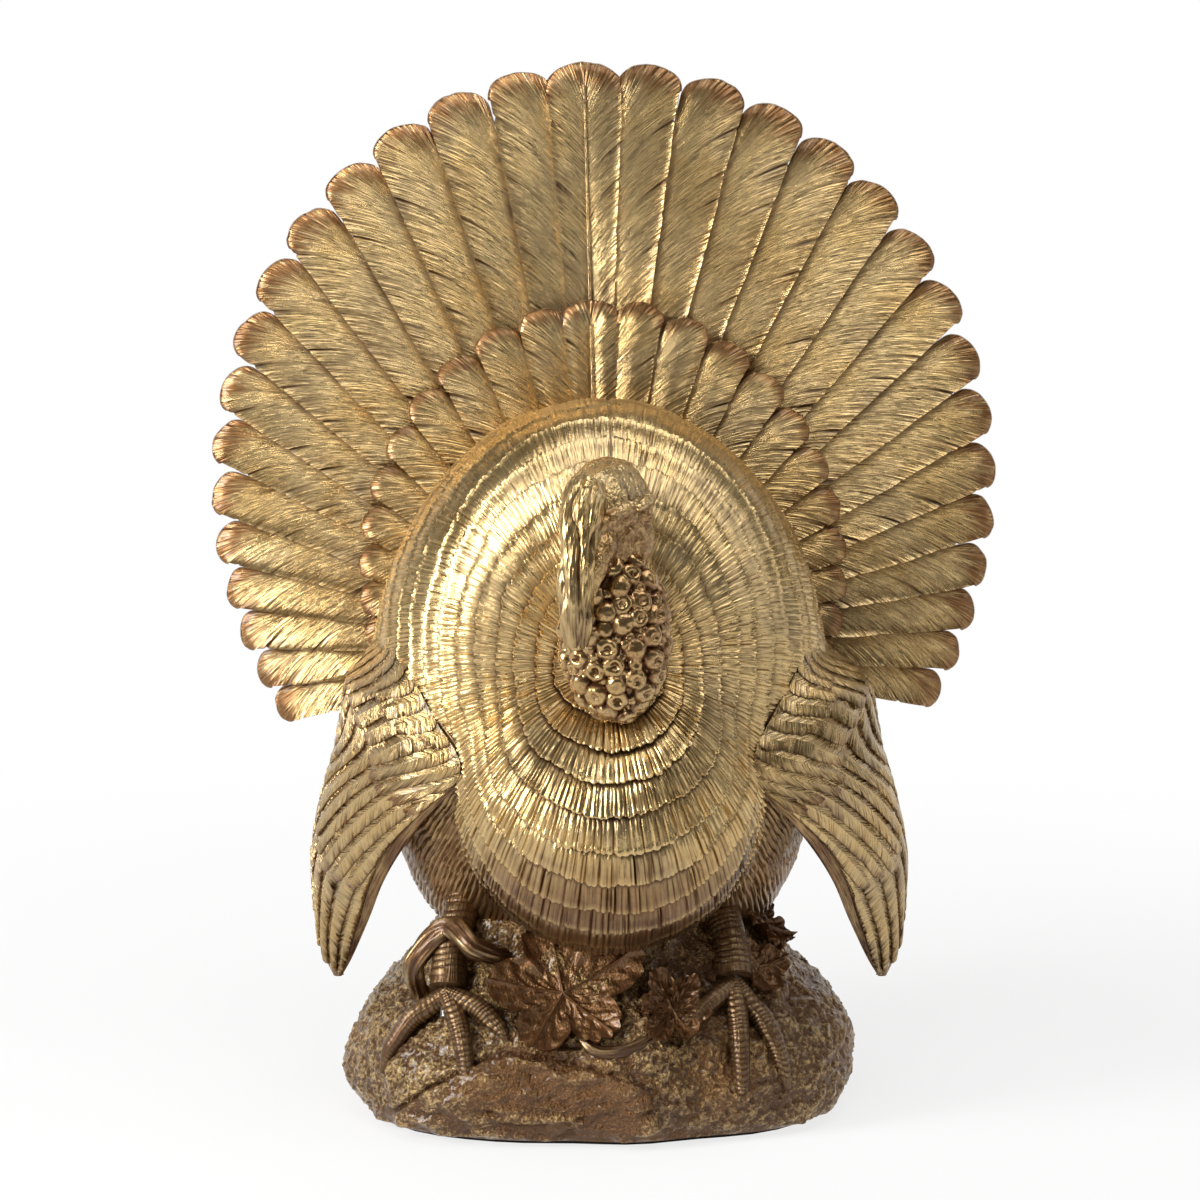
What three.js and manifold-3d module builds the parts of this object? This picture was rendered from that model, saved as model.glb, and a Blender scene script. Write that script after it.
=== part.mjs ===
// Strutting turkey figure, cast in pieces that are bonded and pinned together.
// Millimetres, +Z up. The bird faces -Y. The origin is on the floor, under the middle of the rock base.
import * as THREE from "three";
import { mergeVertices } from "three/addons/utils/BufferGeometryUtils.js";
import Module from "manifold-3d";

const wasm = await Module();
wasm.setup();

// Fits
const GLUE_GAP = 0.3; // between two bonded faces
const OVERRUN = 6; // how far a cutter runs past what it cuts

// Rock base: a hollow casting on a sheet of felt
const ROCK_HALF_WIDTH = 98.5;
const ROCK_HALF_DEPTH = 80;
const ROCK_HEIGHT = 94;
const ROCK_WALL = 10;
const ROCK_ROOF = 12;
const ROCK_CORNER_POWER = 2.7; // 2 is an ellipse, more is boxier
const FELT_THICKNESS = 2;
const FELT_INSET = 4; // from the rock's lower edge
const FELT_GLUE = 0.05;
// Each pair is a share of the height and the spread there, as a share of the half width and depth.
const ROCK_PROFILE_SHARES = [
  [0, 0.93], [0.08, 0.985], [0.19, 1], [0.31, 0.965], [0.42, 0.89],
  [0.51, 0.8], [0.6, 0.72], [0.73, 0.63], [0.88, 0.52], [1, 0.38],
];
// Lumps round the rock: how many in a turn, their size as a share of the radius, and where they start, in radians.
const ROCK_LUMP_SHARES = [[1, 0.012, 4.7], [3, 0.018, 1.1], [5, 0.014, 2.4], [8, 0.01, 0.3], [11, 0.007, 4.2]];

// Body: ellipsoids that melt into each other, seen from a point inside all of them
const HEART = { y: -8, z: 140 };
const MANTLE = { x: 0, y: 8, z: 160, halfWidth: 88, halfDepth: 80, halfHeight: 113 };
const BREAST = { x: 4, y: -50, z: 129, halfWidth: 55, halfDepth: 55, halfHeight: 57 };
const THIGH = { x: 35, y: -3, z: 117, halfWidth: 42, halfDepth: 42, halfHeight: 58 };
const BODY_WALL = 9;
const BODY_REAR = 34; // how far behind the middle the body's rear face stands, at the tail hub
const BODY_REAR_WALL = 14;
const BLEND_POWER = 16;

// Tail: two plates of feathers, clamped between the body and the rump
const TAIL_HUB_HEIGHT = 170;
const TAIL_TILT_DEG = 5;
const TAIL_ROLL_DEG = 1.6; // how far the middle feather leans to the left, seen from the front
const TAIL_HUB_RADIUS = 34;
const TAIL_HUB_PROUD = 3; // how far the fan's hub stands behind its feathers, which bend back
const COVERTS = {
  feathers: 25, halfSweepDeg: 100, halfWidth: 96, halfHeight: 108, rise: 31, shift: 1,
  plate: 3.5, crown: 2.5, step: 1, curl: 0, root: 26, notchShare: 0.55, rowShares: [0, 0.75, 1],
};
const FAN = {
  feathers: 31, halfSweepDeg: 98.4, halfWidth: 155, halfHeight: 166.5, rise: 66.5, shift: 1.5,
  plate: 4.6, crown: 0.8, step: 2.8, curl: 9, root: 26, notchShare: 0.55, rowShares: [0, 0.5, 0.83, 1],
};
const FEATHER_COLUMN_SHARES = [-0.92, -0.5, 0, 0.5, 0.92];

// Rump: the rear of the bird, under the fan
const RUMP = { y: 26, z: 138, halfWidth: 84, halfDepth: 56, halfHeight: 74 };

// Wings: shells that hang from the shoulders
const WING_SPREAD = { left: 104, right: 112 }; // from the middle to the widest part, which differs a little
const WING_BULGE = 19;
const WING_THICKNESS = 8;
const WING_TOP = 190;
const WING_TIP_HEIGHT = 46;
const WING_CHORD = 60; // from the leading to the trailing edge where the wing is widest
// Along each edge: share of the spread, share of the chord ahead of the middle, share of the way down to the tip
const WING_LEADING_SHARES = [
  [0.72, -0.2, 0], [0.65, -0.62, 0.11], [0.57, -0.85, 0.22], [0.49, -1, 0.33], [0.6, -0.86, 0.44],
  [0.72, -0.66, 0.57], [0.8, -0.48, 0.68], [0.86, -0.28, 0.8], [0.93, -0.02, 0.93], [0.975, 0.06, 0.995],
];
const WING_TRAILING_SHARES = [
  [0.76, 0.22, 0], [0.82, 0.36, 0.1], [0.88, 0.42, 0.2], [0.92, 0.46, 0.32], [0.95, 0.48, 0.44],
  [0.97, 0.5, 0.57], [0.985, 0.48, 0.7], [0.99, 0.38, 0.83], [0.995, 0.2, 0.93], [0.985, 0.1, 0.995],
];
// Tiers of wing feathers, the lowest first. Their roots and their tips lie on two lines, from the front feather to
// the rear one: shares down the wing and across it, where 1 is its front edge and -1 its rear edge.
const WING_TIERS = [
  {
    feathers: 8, lift: 0.2,
    rootShares: [[0.56, 0.92], [0.45, 0.6], [0.3, 0.2], [0.2, -0.2], [0.14, -0.5]],
    tipShares: [[1, 0.66], [0.93, 0], [0.82, -0.45], [0.68, -0.8], [0.58, -0.95]],
  },
  {
    feathers: 10, lift: 1.1,
    rootShares: [[0.44, 0.94], [0.28, 0.8], [0.14, 0.65], [0.06, 0.35], [0.02, -0.3]],
    tipShares: [[0.69, 0.7], [0.64, 0.12], [0.5, -0.25], [0.38, -0.62], [0.33, -0.95]],
  },
  {
    feathers: 11, lift: 2,
    rootShares: [[0.4, 0.96], [0.28, 0.95], [0.15, 0.95], [0.04, 0.7], [0, -0.2]],
    tipShares: [[0.47, 0.84], [0.39, 0.34], [0.27, 0.1], [0.19, -0.3], [0.16, -0.95]],
  },
];
const WING_FEATHER_CROWN = 1;
const WING_FEATHER_EDGE_LIFT = 0.6; // how far one edge of a feather stands over its middle
const WING_FEATHER_SINK = 1.4; // how deep a tier's back lies in the wing
const WING_FEATHER_NOTCH = 5; // between two tips
const WING_COLUMN_SHARES = [-0.9, 0, 0.9];
const WING_ROW_SHARES = [0, 0.35, 0.7, 0.9, 1];

// Head and neck, the snood over the beak, and the caruncled wattle on the breast
const SKULL = { x: 3, y: -76, z: 243, halfWidth: 17, halfDepth: 22, halfHeight: 21 };
const CROWN_BUMP = { x: 2, y: -86, z: 236, halfWidth: 14, halfDepth: 16, halfHeight: 26 };
const NECK_RADIUS = 19;
const NECK_FOOT = { x: 3, y: -40, z: 190 };
const BEAK_LENGTH = 26;
const BEAK_RADIUS = 7.5;
const SNOOD_LENGTH = 62;
const SNOOD_RADIUS = 6.5;
const WATTLE = { x: 5, y: -93, z: 199, halfWidth: 19, halfDepth: 13, halfHeight: 33 };
const CARUNCLE_RADIUS = 5.6;
const CARUNCLE_COUNT = 34;

// Legs
const ANKLE_LEFT = { x: -58, y: -53 };
const ANKLE_RIGHT = { x: 51, y: -50 };
const SHANK_RADIUS = 6.8;
const TOE_RADIUS = 4;
const CLAW_RADIUS = 1.4;
const ANKLE_LIFT = 6; // how high the ankle's middle stands over the rock
const THIGH_SINK = 26; // how far the shank's top lies behind the ankle
const TOE_LENGTH = 25;
// Each toe: its heading away from straight ahead, to the outside, and its reach as a share of the toes' length
const TOES_LEFT = [
  { headingDeg: 84, reachShare: 1 }, { headingDeg: -20, reachShare: 1 }, { headingDeg: -52, reachShare: 1.16 },
];
const TOES_RIGHT = [
  { headingDeg: 58, reachShare: 0.96 }, { headingDeg: 8, reachShare: 0.88 }, { headingDeg: -48, reachShare: 1.04 },
];

// Leaves and vines on the rock
const LARGE_LEAF = { x: -14, y: -60, radius: 31, lobes: 5, turnDeg: 100 };
const SMALL_LEAF = { x: 27, y: -62, radius: 15, lobes: 6, turnDeg: 75 };
const SIDE_LEAF = { x: 60, y: -14, radius: 17, lobes: 5, turnDeg: 20 };
const FOOT_LEAF = { x: 60, y: -36, radius: 13, lobes: 3, turnDeg: 60 };
const LEAF_THICKNESS = 3.5;
const LEAF_CUP = 5; // how far a lobe's tip stands off the slope
const LEAF_LOBE_SHARE = 0.3;
const VINE_RADIUS = 4.2;
const TENDRIL_RADIUS = 2.8;
const TENDRIL_HALF_SPAN = 16;
const TENDRIL_SAG = 13;

// Steel pins
const TAIL_PIN_RADIUS = 3;
const TAIL_PIN_SPACING = 26;
const TAIL_PIN_DEPTH = 9; // into the body
const SMALL_PIN_RADIUS = 2;
const SMALL_PIN_DEPTH = 6; // into each of the two pieces
const NECK_PIN_DEPTH = 8;

const HALF_TURN = Math.PI;
const TURN = 2 * Math.PI;
// Facets round and along the large forms
const ROCK_FACETS = 48;
const HOLLOW_FACETS = 24;
const BODY_FACETS = 36;
const BODY_RINGS = 24;
const RUMP_FACETS = 32;
const RUMP_RINGS = 20;
const WING_STEPS = 12;
const WING_FACETS = 16;
const HEAD_FACETS = 14;
const HEAD_RINGS = 10;
const NECK_STEPS = 6;
const PIN_FACETS = 12;
const radians = (degrees) => THREE.MathUtils.degToRad(degrees);
const vector = (x, y, z) => new THREE.Vector3(x, y, z);
const spot = (place) => vector(place.x ?? 0, place.y, place.z);

// Materials: gilt, darker gilt on the rock and the brown of leaves and feet
const gilt = new THREE.MeshStandardMaterial({ color: 0xb29258, roughness: 0.38, metalness: 0.85 });
const giltBrown = new THREE.MeshStandardMaterial({ color: 0x7e5c3a, roughness: 0.5, metalness: 0.6 });
const rockGilt = new THREE.MeshStandardMaterial({ color: 0x6e5536, roughness: 0.65, metalness: 0.5 });
const felt = new THREE.MeshStandardMaterial({ color: 0x2c2622, roughness: 0.95, metalness: 0 });
const steel = new THREE.MeshStandardMaterial({ color: 0x9a9a98, roughness: 0.35, metalness: 1 });

// Solids from geometry, and back
function solidFrom(geometry) {
  const bare = geometry.clone();
  bare.deleteAttribute("normal");
  bare.deleteAttribute("uv");
  const merged = mergeVertices(bare);
  return new wasm.Manifold(new wasm.Mesh({
    numProp: 3,
    vertProperties: new Float32Array(merged.getAttribute("position").array),
    triVerts: new Uint32Array(merged.index.array),
  }));
}

function geometryFrom(solid) {
  const mesh = solid.getMesh();
  const geometry = new THREE.BufferGeometry();
  geometry.setAttribute("position", new THREE.BufferAttribute(mesh.vertProperties.slice(), mesh.numProp));
  geometry.setIndex(new THREE.BufferAttribute(mesh.triVerts.slice(), 1));
  geometry.computeVertexNormals();
  return geometry;
}

// The largest body of a solid, without the crumbs that a cut can leave
function largest(solid) {
  return solid.decompose().reduce((a, b) => (a.volume() > b.volume() ? a : b));
}

function solidFromTriangles(points, triangles) {
  const geometry = new THREE.BufferGeometry().setFromPoints(points);
  geometry.setIndex(triangles.flat());
  return solidFrom(geometry);
}

// A solid through closed rings of points, each with the same number, ended by a fan of triangles
function loft(rings) {
  const count = rings[0].length;
  const points = rings.flat();
  const triangles = [];
  const at = (ring, i) => ring * count + (i % count);
  for (let ring = 0; ring + 1 < rings.length; ring++) {
    for (let i = 0; i < count; i++) {
      triangles.push([at(ring, i), at(ring, i + 1), at(ring + 1, i)]);
      triangles.push([at(ring, i + 1), at(ring + 1, i + 1), at(ring + 1, i)]);
    }
  }
  for (const [ring, first] of [[rings[0], true], [rings[rings.length - 1], false]]) {
    const centre = ring.reduce((sum, p) => sum.add(p), vector(0, 0, 0)).divideScalar(count);
    const index = points.push(centre) - 1;
    const base = first ? 0 : (rings.length - 1) * count;
    for (let i = 0; i < count; i++) {
      const next = base + ((i + 1) % count);
      triangles.push(first ? [index, next, base + i] : [index, base + i, next]);
    }
  }
  return facingOut(points, triangles);
}

// A slab between two grids of points, front[column][row] and back[column][row]
function slab(front, back) {
  const columns = front.length;
  const rows = front[0].length;
  const points = [...front.flat(), ...back.flat()];
  const near = (c, r) => c * rows + r;
  const far = (c, r) => columns * rows + c * rows + r;
  const triangles = [];
  const quad = (a, b, c, d) => triangles.push([a, b, c], [a, c, d]);
  for (let c = 0; c + 1 < columns; c++) {
    for (let r = 0; r + 1 < rows; r++) {
      quad(near(c, r), near(c + 1, r), near(c + 1, r + 1), near(c, r + 1));
      quad(far(c, r), far(c, r + 1), far(c + 1, r + 1), far(c + 1, r));
    }
    quad(near(c, 0), far(c, 0), far(c + 1, 0), near(c + 1, 0));
    quad(near(c, rows - 1), near(c + 1, rows - 1), far(c + 1, rows - 1), far(c, rows - 1));
  }
  for (let r = 0; r + 1 < rows; r++) {
    quad(near(0, r), near(0, r + 1), far(0, r + 1), far(0, r));
    quad(near(columns - 1, r), far(columns - 1, r), far(columns - 1, r + 1), near(columns - 1, r + 1));
  }
  return facingOut(points, triangles);
}

function facingOut(points, triangles) {
  const made = solidFromTriangles(points, triangles);
  if (made.volume() > 0) return made;
  return solidFromTriangles(points, triangles.map(([a, b, c]) => [a, c, b]));
}

// A round-sectioned solid along a smooth line through points, with a radius at each point
function limb(points, radii, sides, steps, flatten = 1) {
  const curve = new THREE.CatmullRomCurve3(points);
  const frames = curve.computeFrenetFrames(steps);
  const rings = [];
  for (let s = 0; s <= steps; s++) {
    const place = (s / steps) * (radii.length - 1);
    const low = Math.min(Math.floor(place), radii.length - 2);
    const radius = THREE.MathUtils.lerp(radii[low], radii[low + 1], place - low);
    const centre = curve.getPoint(s / steps);
    rings.push(Array.from({ length: sides }, (_, i) => {
      const angle = (i / sides) * TURN;
      return centre.clone()
        .addScaledVector(frames.normals[s], radius * Math.cos(angle))
        .addScaledVector(frames.binormals[s], radius * flatten * Math.sin(angle));
    }));
  }
  return loft(rings);
}

function ellipsoid(lobe, grow = 0, across = 20, down = 12) {
  const geometry = new THREE.SphereGeometry(1, across, down)
    .rotateX(HALF_TURN / 2)
    .scale(lobe.halfWidth + grow, lobe.halfDepth + grow, lobe.halfHeight + grow)
    .translate(lobe.x ?? 0, lobe.y, lobe.z);
  return solidFrom(geometry);
}

// A cylinder between two points
function rodSolid(from, to, radius) {
  const along = to.clone().sub(from);
  const middle = from.clone().add(to).divideScalar(2);
  const geometry = new THREE.CylinderGeometry(radius, radius, along.length(), PIN_FACETS);
  geometry.applyQuaternion(new THREE.Quaternion().setFromUnitVectors(vector(0, 1, 0), along.normalize()));
  return solidFrom(geometry.translate(middle.x, middle.y, middle.z));
}

// The hole that a pin is glued into: wider all round and longer at both ends
function pinHole(pin) {
  const along = pin.to.clone().sub(pin.from).normalize().multiplyScalar(GLUE_GAP);
  return rodSolid(pin.from.clone().sub(along), pin.to.clone().add(along), pin.radius + GLUE_GAP);
}

// Rock base
function rockLump(angle) {
  return ROCK_LUMP_SHARES.reduce((sum, [count, share, start]) => sum + share * Math.sin(count * angle + start), 1);
}

function rockSpread(angle, grow) {
  const across = Math.abs(Math.cos(angle)) / (ROCK_HALF_WIDTH + grow);
  const deep = Math.abs(Math.sin(angle)) / (ROCK_HALF_DEPTH + grow);
  const sum = across ** ROCK_CORNER_POWER + deep ** ROCK_CORNER_POWER;
  return rockLump(angle) * sum ** (-1 / ROCK_CORNER_POWER);
}

function rockRings(grow, bottom, height, around) {
  return ROCK_PROFILE_SHARES.map(([heightShare, spreadShare]) =>
    Array.from({ length: around }, (_, i) => {
      const angle = (i / around) * TURN;
      const reach = rockSpread(angle, grow) * spreadShare;
      return vector(reach * Math.cos(angle), reach * Math.sin(angle), bottom + heightShare * height);
    }));
}

function rockForm(grow = 0) {
  return loft(rockRings(grow, FELT_THICKNESS - grow, ROCK_HEIGHT + 2 * grow, ROCK_FACETS));
}

function rockHollow() {
  const rings = rockRings(-ROCK_WALL, FELT_THICKNESS, ROCK_HEIGHT - ROCK_ROOF, HOLLOW_FACETS).slice(0, -1);
  const mouth = rings[0].map((p) => p.clone().setZ(FELT_THICKNESS - OVERRUN));
  return loft([mouth, ...rings]);
}

function feltSheet() {
  const edge = rockRings(-FELT_INSET, 0, ROCK_HEIGHT, ROCK_FACETS)[0].map((p) => new THREE.Vector2(p.x, p.y));
  const depth = FELT_THICKNESS - FELT_GLUE;
  return solidFrom(new THREE.ExtrudeGeometry(new THREE.Shape(edge), { depth, bevelEnabled: false }));
}

// Height of the rock's surface over a place on the floor
function rockTop(x, y) {
  const spread = Math.hypot(x, y) / rockSpread(Math.atan2(y, x), 0);
  const upper = ROCK_PROFILE_SHARES.slice(2);
  for (let i = 0; i + 1 < upper.length; i++) {
    const [lowHeight, wide] = upper[i];
    const [highHeight, narrow] = upper[i + 1];
    if (spread <= wide && spread >= narrow) {
      const share = THREE.MathUtils.mapLinear(spread, wide, narrow, lowHeight, highHeight);
      return FELT_THICKNESS + share * ROCK_HEIGHT;
    }
  }
  return FELT_THICKNESS + ROCK_HEIGHT * (spread < upper[0][1] ? 1 : upper[0][0]);
}

function rockNormal(x, y) {
  const step = ROCK_WALL / 4;
  const slopeX = (rockTop(x + step, y) - rockTop(x - step, y)) / (2 * step);
  const slopeY = (rockTop(x, y + step) - rockTop(x, y - step)) / (2 * step);
  return vector(-slopeX, -slopeY, 1).normalize();
}

const onRock = (x, y) => vector(x, y, rockTop(x, y));

// Body: how far its surface lies from the heart along a direction
function lobeReach(lobe, grow, direction) {
  const half = vector(lobe.halfWidth + grow, lobe.halfDepth + grow, lobe.halfHeight + grow);
  const away = spot(HEART).sub(spot(lobe)).divide(half);
  const heading = direction.clone().divide(half);
  const a = heading.dot(heading);
  const b = heading.dot(away);
  const root = b * b - a * (away.dot(away) - 1);
  return root < 0 ? 0 : Math.max(0, (Math.sqrt(root) - b) / a);
}

function bodyLobes() {
  return [MANTLE, BREAST, THIGH, { ...THIGH, x: -THIGH.x }];
}

function bodyReach(direction, grow) {
  const sum = bodyLobes().reduce((total, lobe) => total + lobeReach(lobe, grow, direction) ** BLEND_POWER, 0);
  return sum ** (1 / BLEND_POWER);
}

function bodySurface(direction, grow = 0) {
  return spot(HEART).addScaledVector(direction, bodyReach(direction, grow));
}

// Rings round the line from the heart to the front, from the breast to the rear
function bodyForm(grow, around = BODY_FACETS, along = BODY_RINGS) {
  const rings = [];
  for (let r = 1; r < along; r++) {
    const away = (r / along) * HALF_TURN;
    rings.push(Array.from({ length: around }, (_, i) => {
      const turn = (i / around) * TURN;
      const direction = vector(Math.sin(away) * Math.sin(turn), -Math.cos(away), Math.sin(away) * Math.cos(turn));
      return bodySurface(direction, grow);
    }));
  }
  return loft(rings);
}

// Tail frame: x across, y up the fan, z towards the front of the bird
const tail = new THREE.Group();
tail.position.set(0, BODY_REAR, TAIL_HUB_HEIGHT);
tail.rotation.set(HALF_TURN / 2 - radians(TAIL_TILT_DEG), 0, 0);
tail.updateMatrixWorld();

function fromTail(geometry) {
  return solidFrom(geometry.applyMatrix4(tail.matrixWorld));
}

// Everything behind a plane of the tail frame, as a large box
function behindTail(plane) {
  const size = 2 * (FAN.halfHeight + FAN.rise + TAIL_HUB_HEIGHT);
  return fromTail(new THREE.BoxGeometry(size, size, size).translate(0, 0, plane - size / 2));
}

// How long a feather is along an angle from straight up, where its tip meets the outline, an ellipse
function featherLength(plate, angle) {
  const heading = new THREE.Vector2(Math.sin(angle) / plate.halfWidth, Math.cos(angle) / plate.halfHeight);
  const centre = new THREE.Vector2(plate.shift / plate.halfWidth, plate.rise / plate.halfHeight);
  const a = heading.lengthSq();
  const b = heading.dot(centre);
  return (b + Math.sqrt(b * b - a * (centre.lengthSq() - 1))) / a;
}

// A plate of feathers in the tail frame. Its crowns stand at front, and its back is flat.
function featherPlate(plate, front) {
  const half = (plate.feathers - 1) / 2;
  const spacing = radians(plate.halfSweepDeg) / half;
  const faces = [];
  const backs = [];
  for (let f = -half; f <= half; f++) {
    const middle = f * spacing - radians(TAIL_ROLL_DEG);
    const length = featherLength(plate, middle);
    const halfTip = length * Math.tan(spacing / 2);
    for (const share of FEATHER_COLUMN_SHARES) {
      const angle = middle + (share * spacing) / 2;
      const tip = length - plate.notchShare * halfTip * (1 - Math.sqrt(1 - share * share)) * 2;
      const crown = plate.crown * (1 - share * share);
      const lap = (plate.step / 2) * (f === 0 ? 1 : share * Math.sign(f));
      const face = [];
      const back = [];
      for (const row of plate.rowShares) {
        const reach = THREE.MathUtils.lerp(plate.root, tip, row);
        const bend = plate.curl * row ** 3;
        const drop = plate.crown + plate.step / 2;
        const x = reach * Math.sin(angle);
        const y = reach * Math.cos(angle);
        face.push(vector(x, y, front - drop + crown + lap - bend));
        back.push(vector(x, y, front - drop - plate.plate - bend));
      }
      faces.push(face);
      backs.push(back);
    }
  }
  return slab(faces, backs);
}

function plateDepth(plate) {
  return plate.crown + plate.step / 2 + plate.plate;
}

function hubDisc(front, depth) {
  return solidFrom(new THREE.CylinderGeometry(TAIL_HUB_RADIUS, TAIL_HUB_RADIUS, depth, 32)
    .rotateX(HALF_TURN / 2)
    .translate(0, 0, front - depth / 2));
}

const COVERTS_FRONT = -GLUE_GAP;
const COVERTS_BACK = COVERTS_FRONT - plateDepth(COVERTS);
const FAN_FRONT = COVERTS_BACK - GLUE_GAP;
const FAN_BACK = FAN_FRONT - plateDepth(FAN) - TAIL_HUB_PROUD;

function tailPins() {
  return [-1, 1].map((side) => {
    const x = (side * TAIL_PIN_SPACING) / 2;
    return {
      name: side < 0 ? "tail_pin_left" : "tail_pin_right",
      from: vector(x, 0, FAN_BACK),
      to: vector(x, 0, TAIL_PIN_DEPTH),
      radius: TAIL_PIN_RADIUS,
    };
  });
}

function tailPlate(plate, front, proud) {
  const made = featherPlate(plate, front).add(hubDisc(front, plateDepth(plate) + proud));
  return tailPins().reduce((solid, pin) => solid.subtract(pinHole(pin)), made);
}

// Places: a pin that runs square through the wall of the body where a direction from the heart leaves it
function wallPin(name, direction, inside, outside, radius) {
  const surface = bodySurface(direction);
  return {
    name,
    from: surface.clone().addScaledVector(direction, -inside),
    to: surface.clone().addScaledVector(direction, outside),
    radius,
  };
}

function wingPin(side) {
  const direction = vector(side, 0, 0);
  const name = side < 0 ? "wing_pin_left" : "wing_pin_right";
  return wallPin(name, direction, SMALL_PIN_DEPTH, SMALL_PIN_DEPTH, SMALL_PIN_RADIUS);
}

function neckPin() {
  const direction = spot(SKULL).sub(spot(HEART)).normalize();
  return wallPin("neck_pin", direction, NECK_PIN_DEPTH, NECK_PIN_DEPTH, TAIL_PIN_RADIUS);
}

function legPin(side) {
  const [, shin, ankle] = shankPath(side);
  const up = shin.clone().sub(ankle).normalize();
  return {
    name: side < 0 ? "leg_pin_left" : "leg_pin_right",
    from: ankle.clone().addScaledVector(up, -ANKLE_LIFT - SMALL_PIN_DEPTH),
    to: ankle.clone().addScaledVector(up, SMALL_PIN_DEPTH),
    radius: SMALL_PIN_RADIUS,
  };
}

// A pin across the joint of body and rump, in the wall below the fan
function rumpPin(side) {
  const x = side * (THIGH.x + THIGH.halfWidth / 2);
  const y = THIGH.z - TAIL_HUB_HEIGHT;
  return {
    name: side < 0 ? "rump_pin_left" : "rump_pin_right",
    from: vector(x, y, -SMALL_PIN_DEPTH),
    to: vector(x, y, SMALL_PIN_DEPTH),
    radius: SMALL_PIN_RADIUS,
  };
}

function inWorld(pin) {
  return {
    ...pin,
    from: pin.from.clone().applyMatrix4(tail.matrixWorld),
    to: pin.to.clone().applyMatrix4(tail.matrixWorld),
  };
}

// Wings
const wingSpread = (side) => (side < 0 ? WING_SPREAD.left : WING_SPREAD.right);

function wingEdge(shares, side) {
  const drop = WING_TOP - WING_TIP_HEIGHT;
  return new THREE.CatmullRomCurve3(shares.map(([out, ahead, down]) =>
    vector(side * out * wingSpread(side), ahead * WING_CHORD, WING_TOP - down * drop)));
}

// The sheet that a wing follows: a place down it from 0 to 1, across it from 1 in front to -1, and off it
function wingSheet(side) {
  const leading = wingEdge(WING_LEADING_SHARES, side);
  const trailing = wingEdge(WING_TRAILING_SHARES, side);
  const halfChord = (down) => leading.getPoint(down).sub(trailing.getPoint(down)).divideScalar(2);
  const place = (down, across, off) => {
    const half = halfChord(down);
    const out = vector(side, 0, 0).addScaledVector(half, -half.x * side / half.lengthSq()).normalize();
    const bulge = WING_BULGE * Math.sin(HALF_TURN * (0.12 + 0.86 * down));
    return trailing.getPoint(down).add(half)
      .addScaledVector(half, across)
      .addScaledVector(out, bulge * (1 - across * across) + off);
  };
  return { halfChord, place };
}

const wingHalfThickness = (down) => (WING_THICKNESS * (1 - 0.45 * down)) / 2;

// A tier of feathers side by side, with crowns, laid on the wing. Their roots lie flush with it.
function wingTier(sheet, tier) {
  const drop = WING_TOP - WING_TIP_HEIGHT;
  const lines = [tier.rootShares, tier.tipShares].map((shares) =>
    new THREE.SplineCurve(shares.map(([down, across]) => new THREE.Vector2(down, across))));
  const faces = [];
  const backs = [];
  for (let feather = 0; feather < tier.feathers; feather++) {
    for (const column of WING_COLUMN_SHARES) {
      const [root, tip] = lines.map((line) => line.getPoint((feather + 0.5 + column / 2) / tier.feathers));
      tip.x -= (WING_FEATHER_NOTCH / drop) * (1 - Math.sqrt(1 - column * column));
      const rise = WING_FEATHER_CROWN * (1 - column * column) - WING_FEATHER_EDGE_LIFT * column;
      const places = WING_ROW_SHARES.map((share) => root.clone().lerp(tip, share));
      faces.push(places.map((spot, row) => {
        const grown = Math.min(1, WING_ROW_SHARES[row] / WING_ROW_SHARES[1]);
        return sheet.place(spot.x, spot.y, wingHalfThickness(spot.x) + (tier.lift + rise) * grown);
      }));
      backs.push(places.map((spot) => sheet.place(spot.x, spot.y, wingHalfThickness(spot.x) - WING_FEATHER_SINK)));
    }
  }
  return slab(faces, backs);
}

function wingForm(side) {
  const sheet = wingSheet(side);
  const rings = [];
  for (let s = 0; s <= WING_STEPS; s++) {
    const down = s / WING_STEPS;
    rings.push(Array.from({ length: WING_FACETS }, (_, i) => {
      const angle = (i / WING_FACETS) * TURN;
      return sheet.place(down, Math.cos(angle), wingHalfThickness(down) * Math.sin(angle));
    }));
  }
  return WING_TIERS.reduce((made, tier) => made.add(wingTier(sheet, tier)), loft(rings));
}

// Head
function headForm(grow) {
  const neck = limb(
    [spot(NECK_FOOT), vector(SKULL.x, SKULL.y + SKULL.halfDepth / 2, SKULL.z - SKULL.halfHeight), spot(SKULL)],
    [NECK_RADIUS + grow, NECK_RADIUS * 0.85 + grow, SKULL.halfWidth * 0.8 + grow], HEAD_FACETS, NECK_STEPS);
  const skull = ellipsoid(SKULL, grow, HEAD_FACETS, HEAD_RINGS);
  return neck.add(skull).add(ellipsoid(CROWN_BUMP, grow, HEAD_FACETS, HEAD_RINGS)).add(beakForm(grow));
}

function beakForm(grow) {
  const root = vector(CROWN_BUMP.x, CROWN_BUMP.y - CROWN_BUMP.halfDepth / 2, CROWN_BUMP.z);
  const tip = root.clone().add(vector(-BEAK_LENGTH * 0.2, -BEAK_LENGTH * 0.55, -BEAK_LENGTH * 0.8));
  const middle = root.clone().lerp(tip, 0.5).add(vector(0, -BEAK_RADIUS / 2, BEAK_RADIUS / 2));
  return limb([root, middle, tip], [BEAK_RADIUS + grow, BEAK_RADIUS * 0.8 + grow, BEAK_RADIUS * 0.25 + grow], 10, 6);
}

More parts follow.
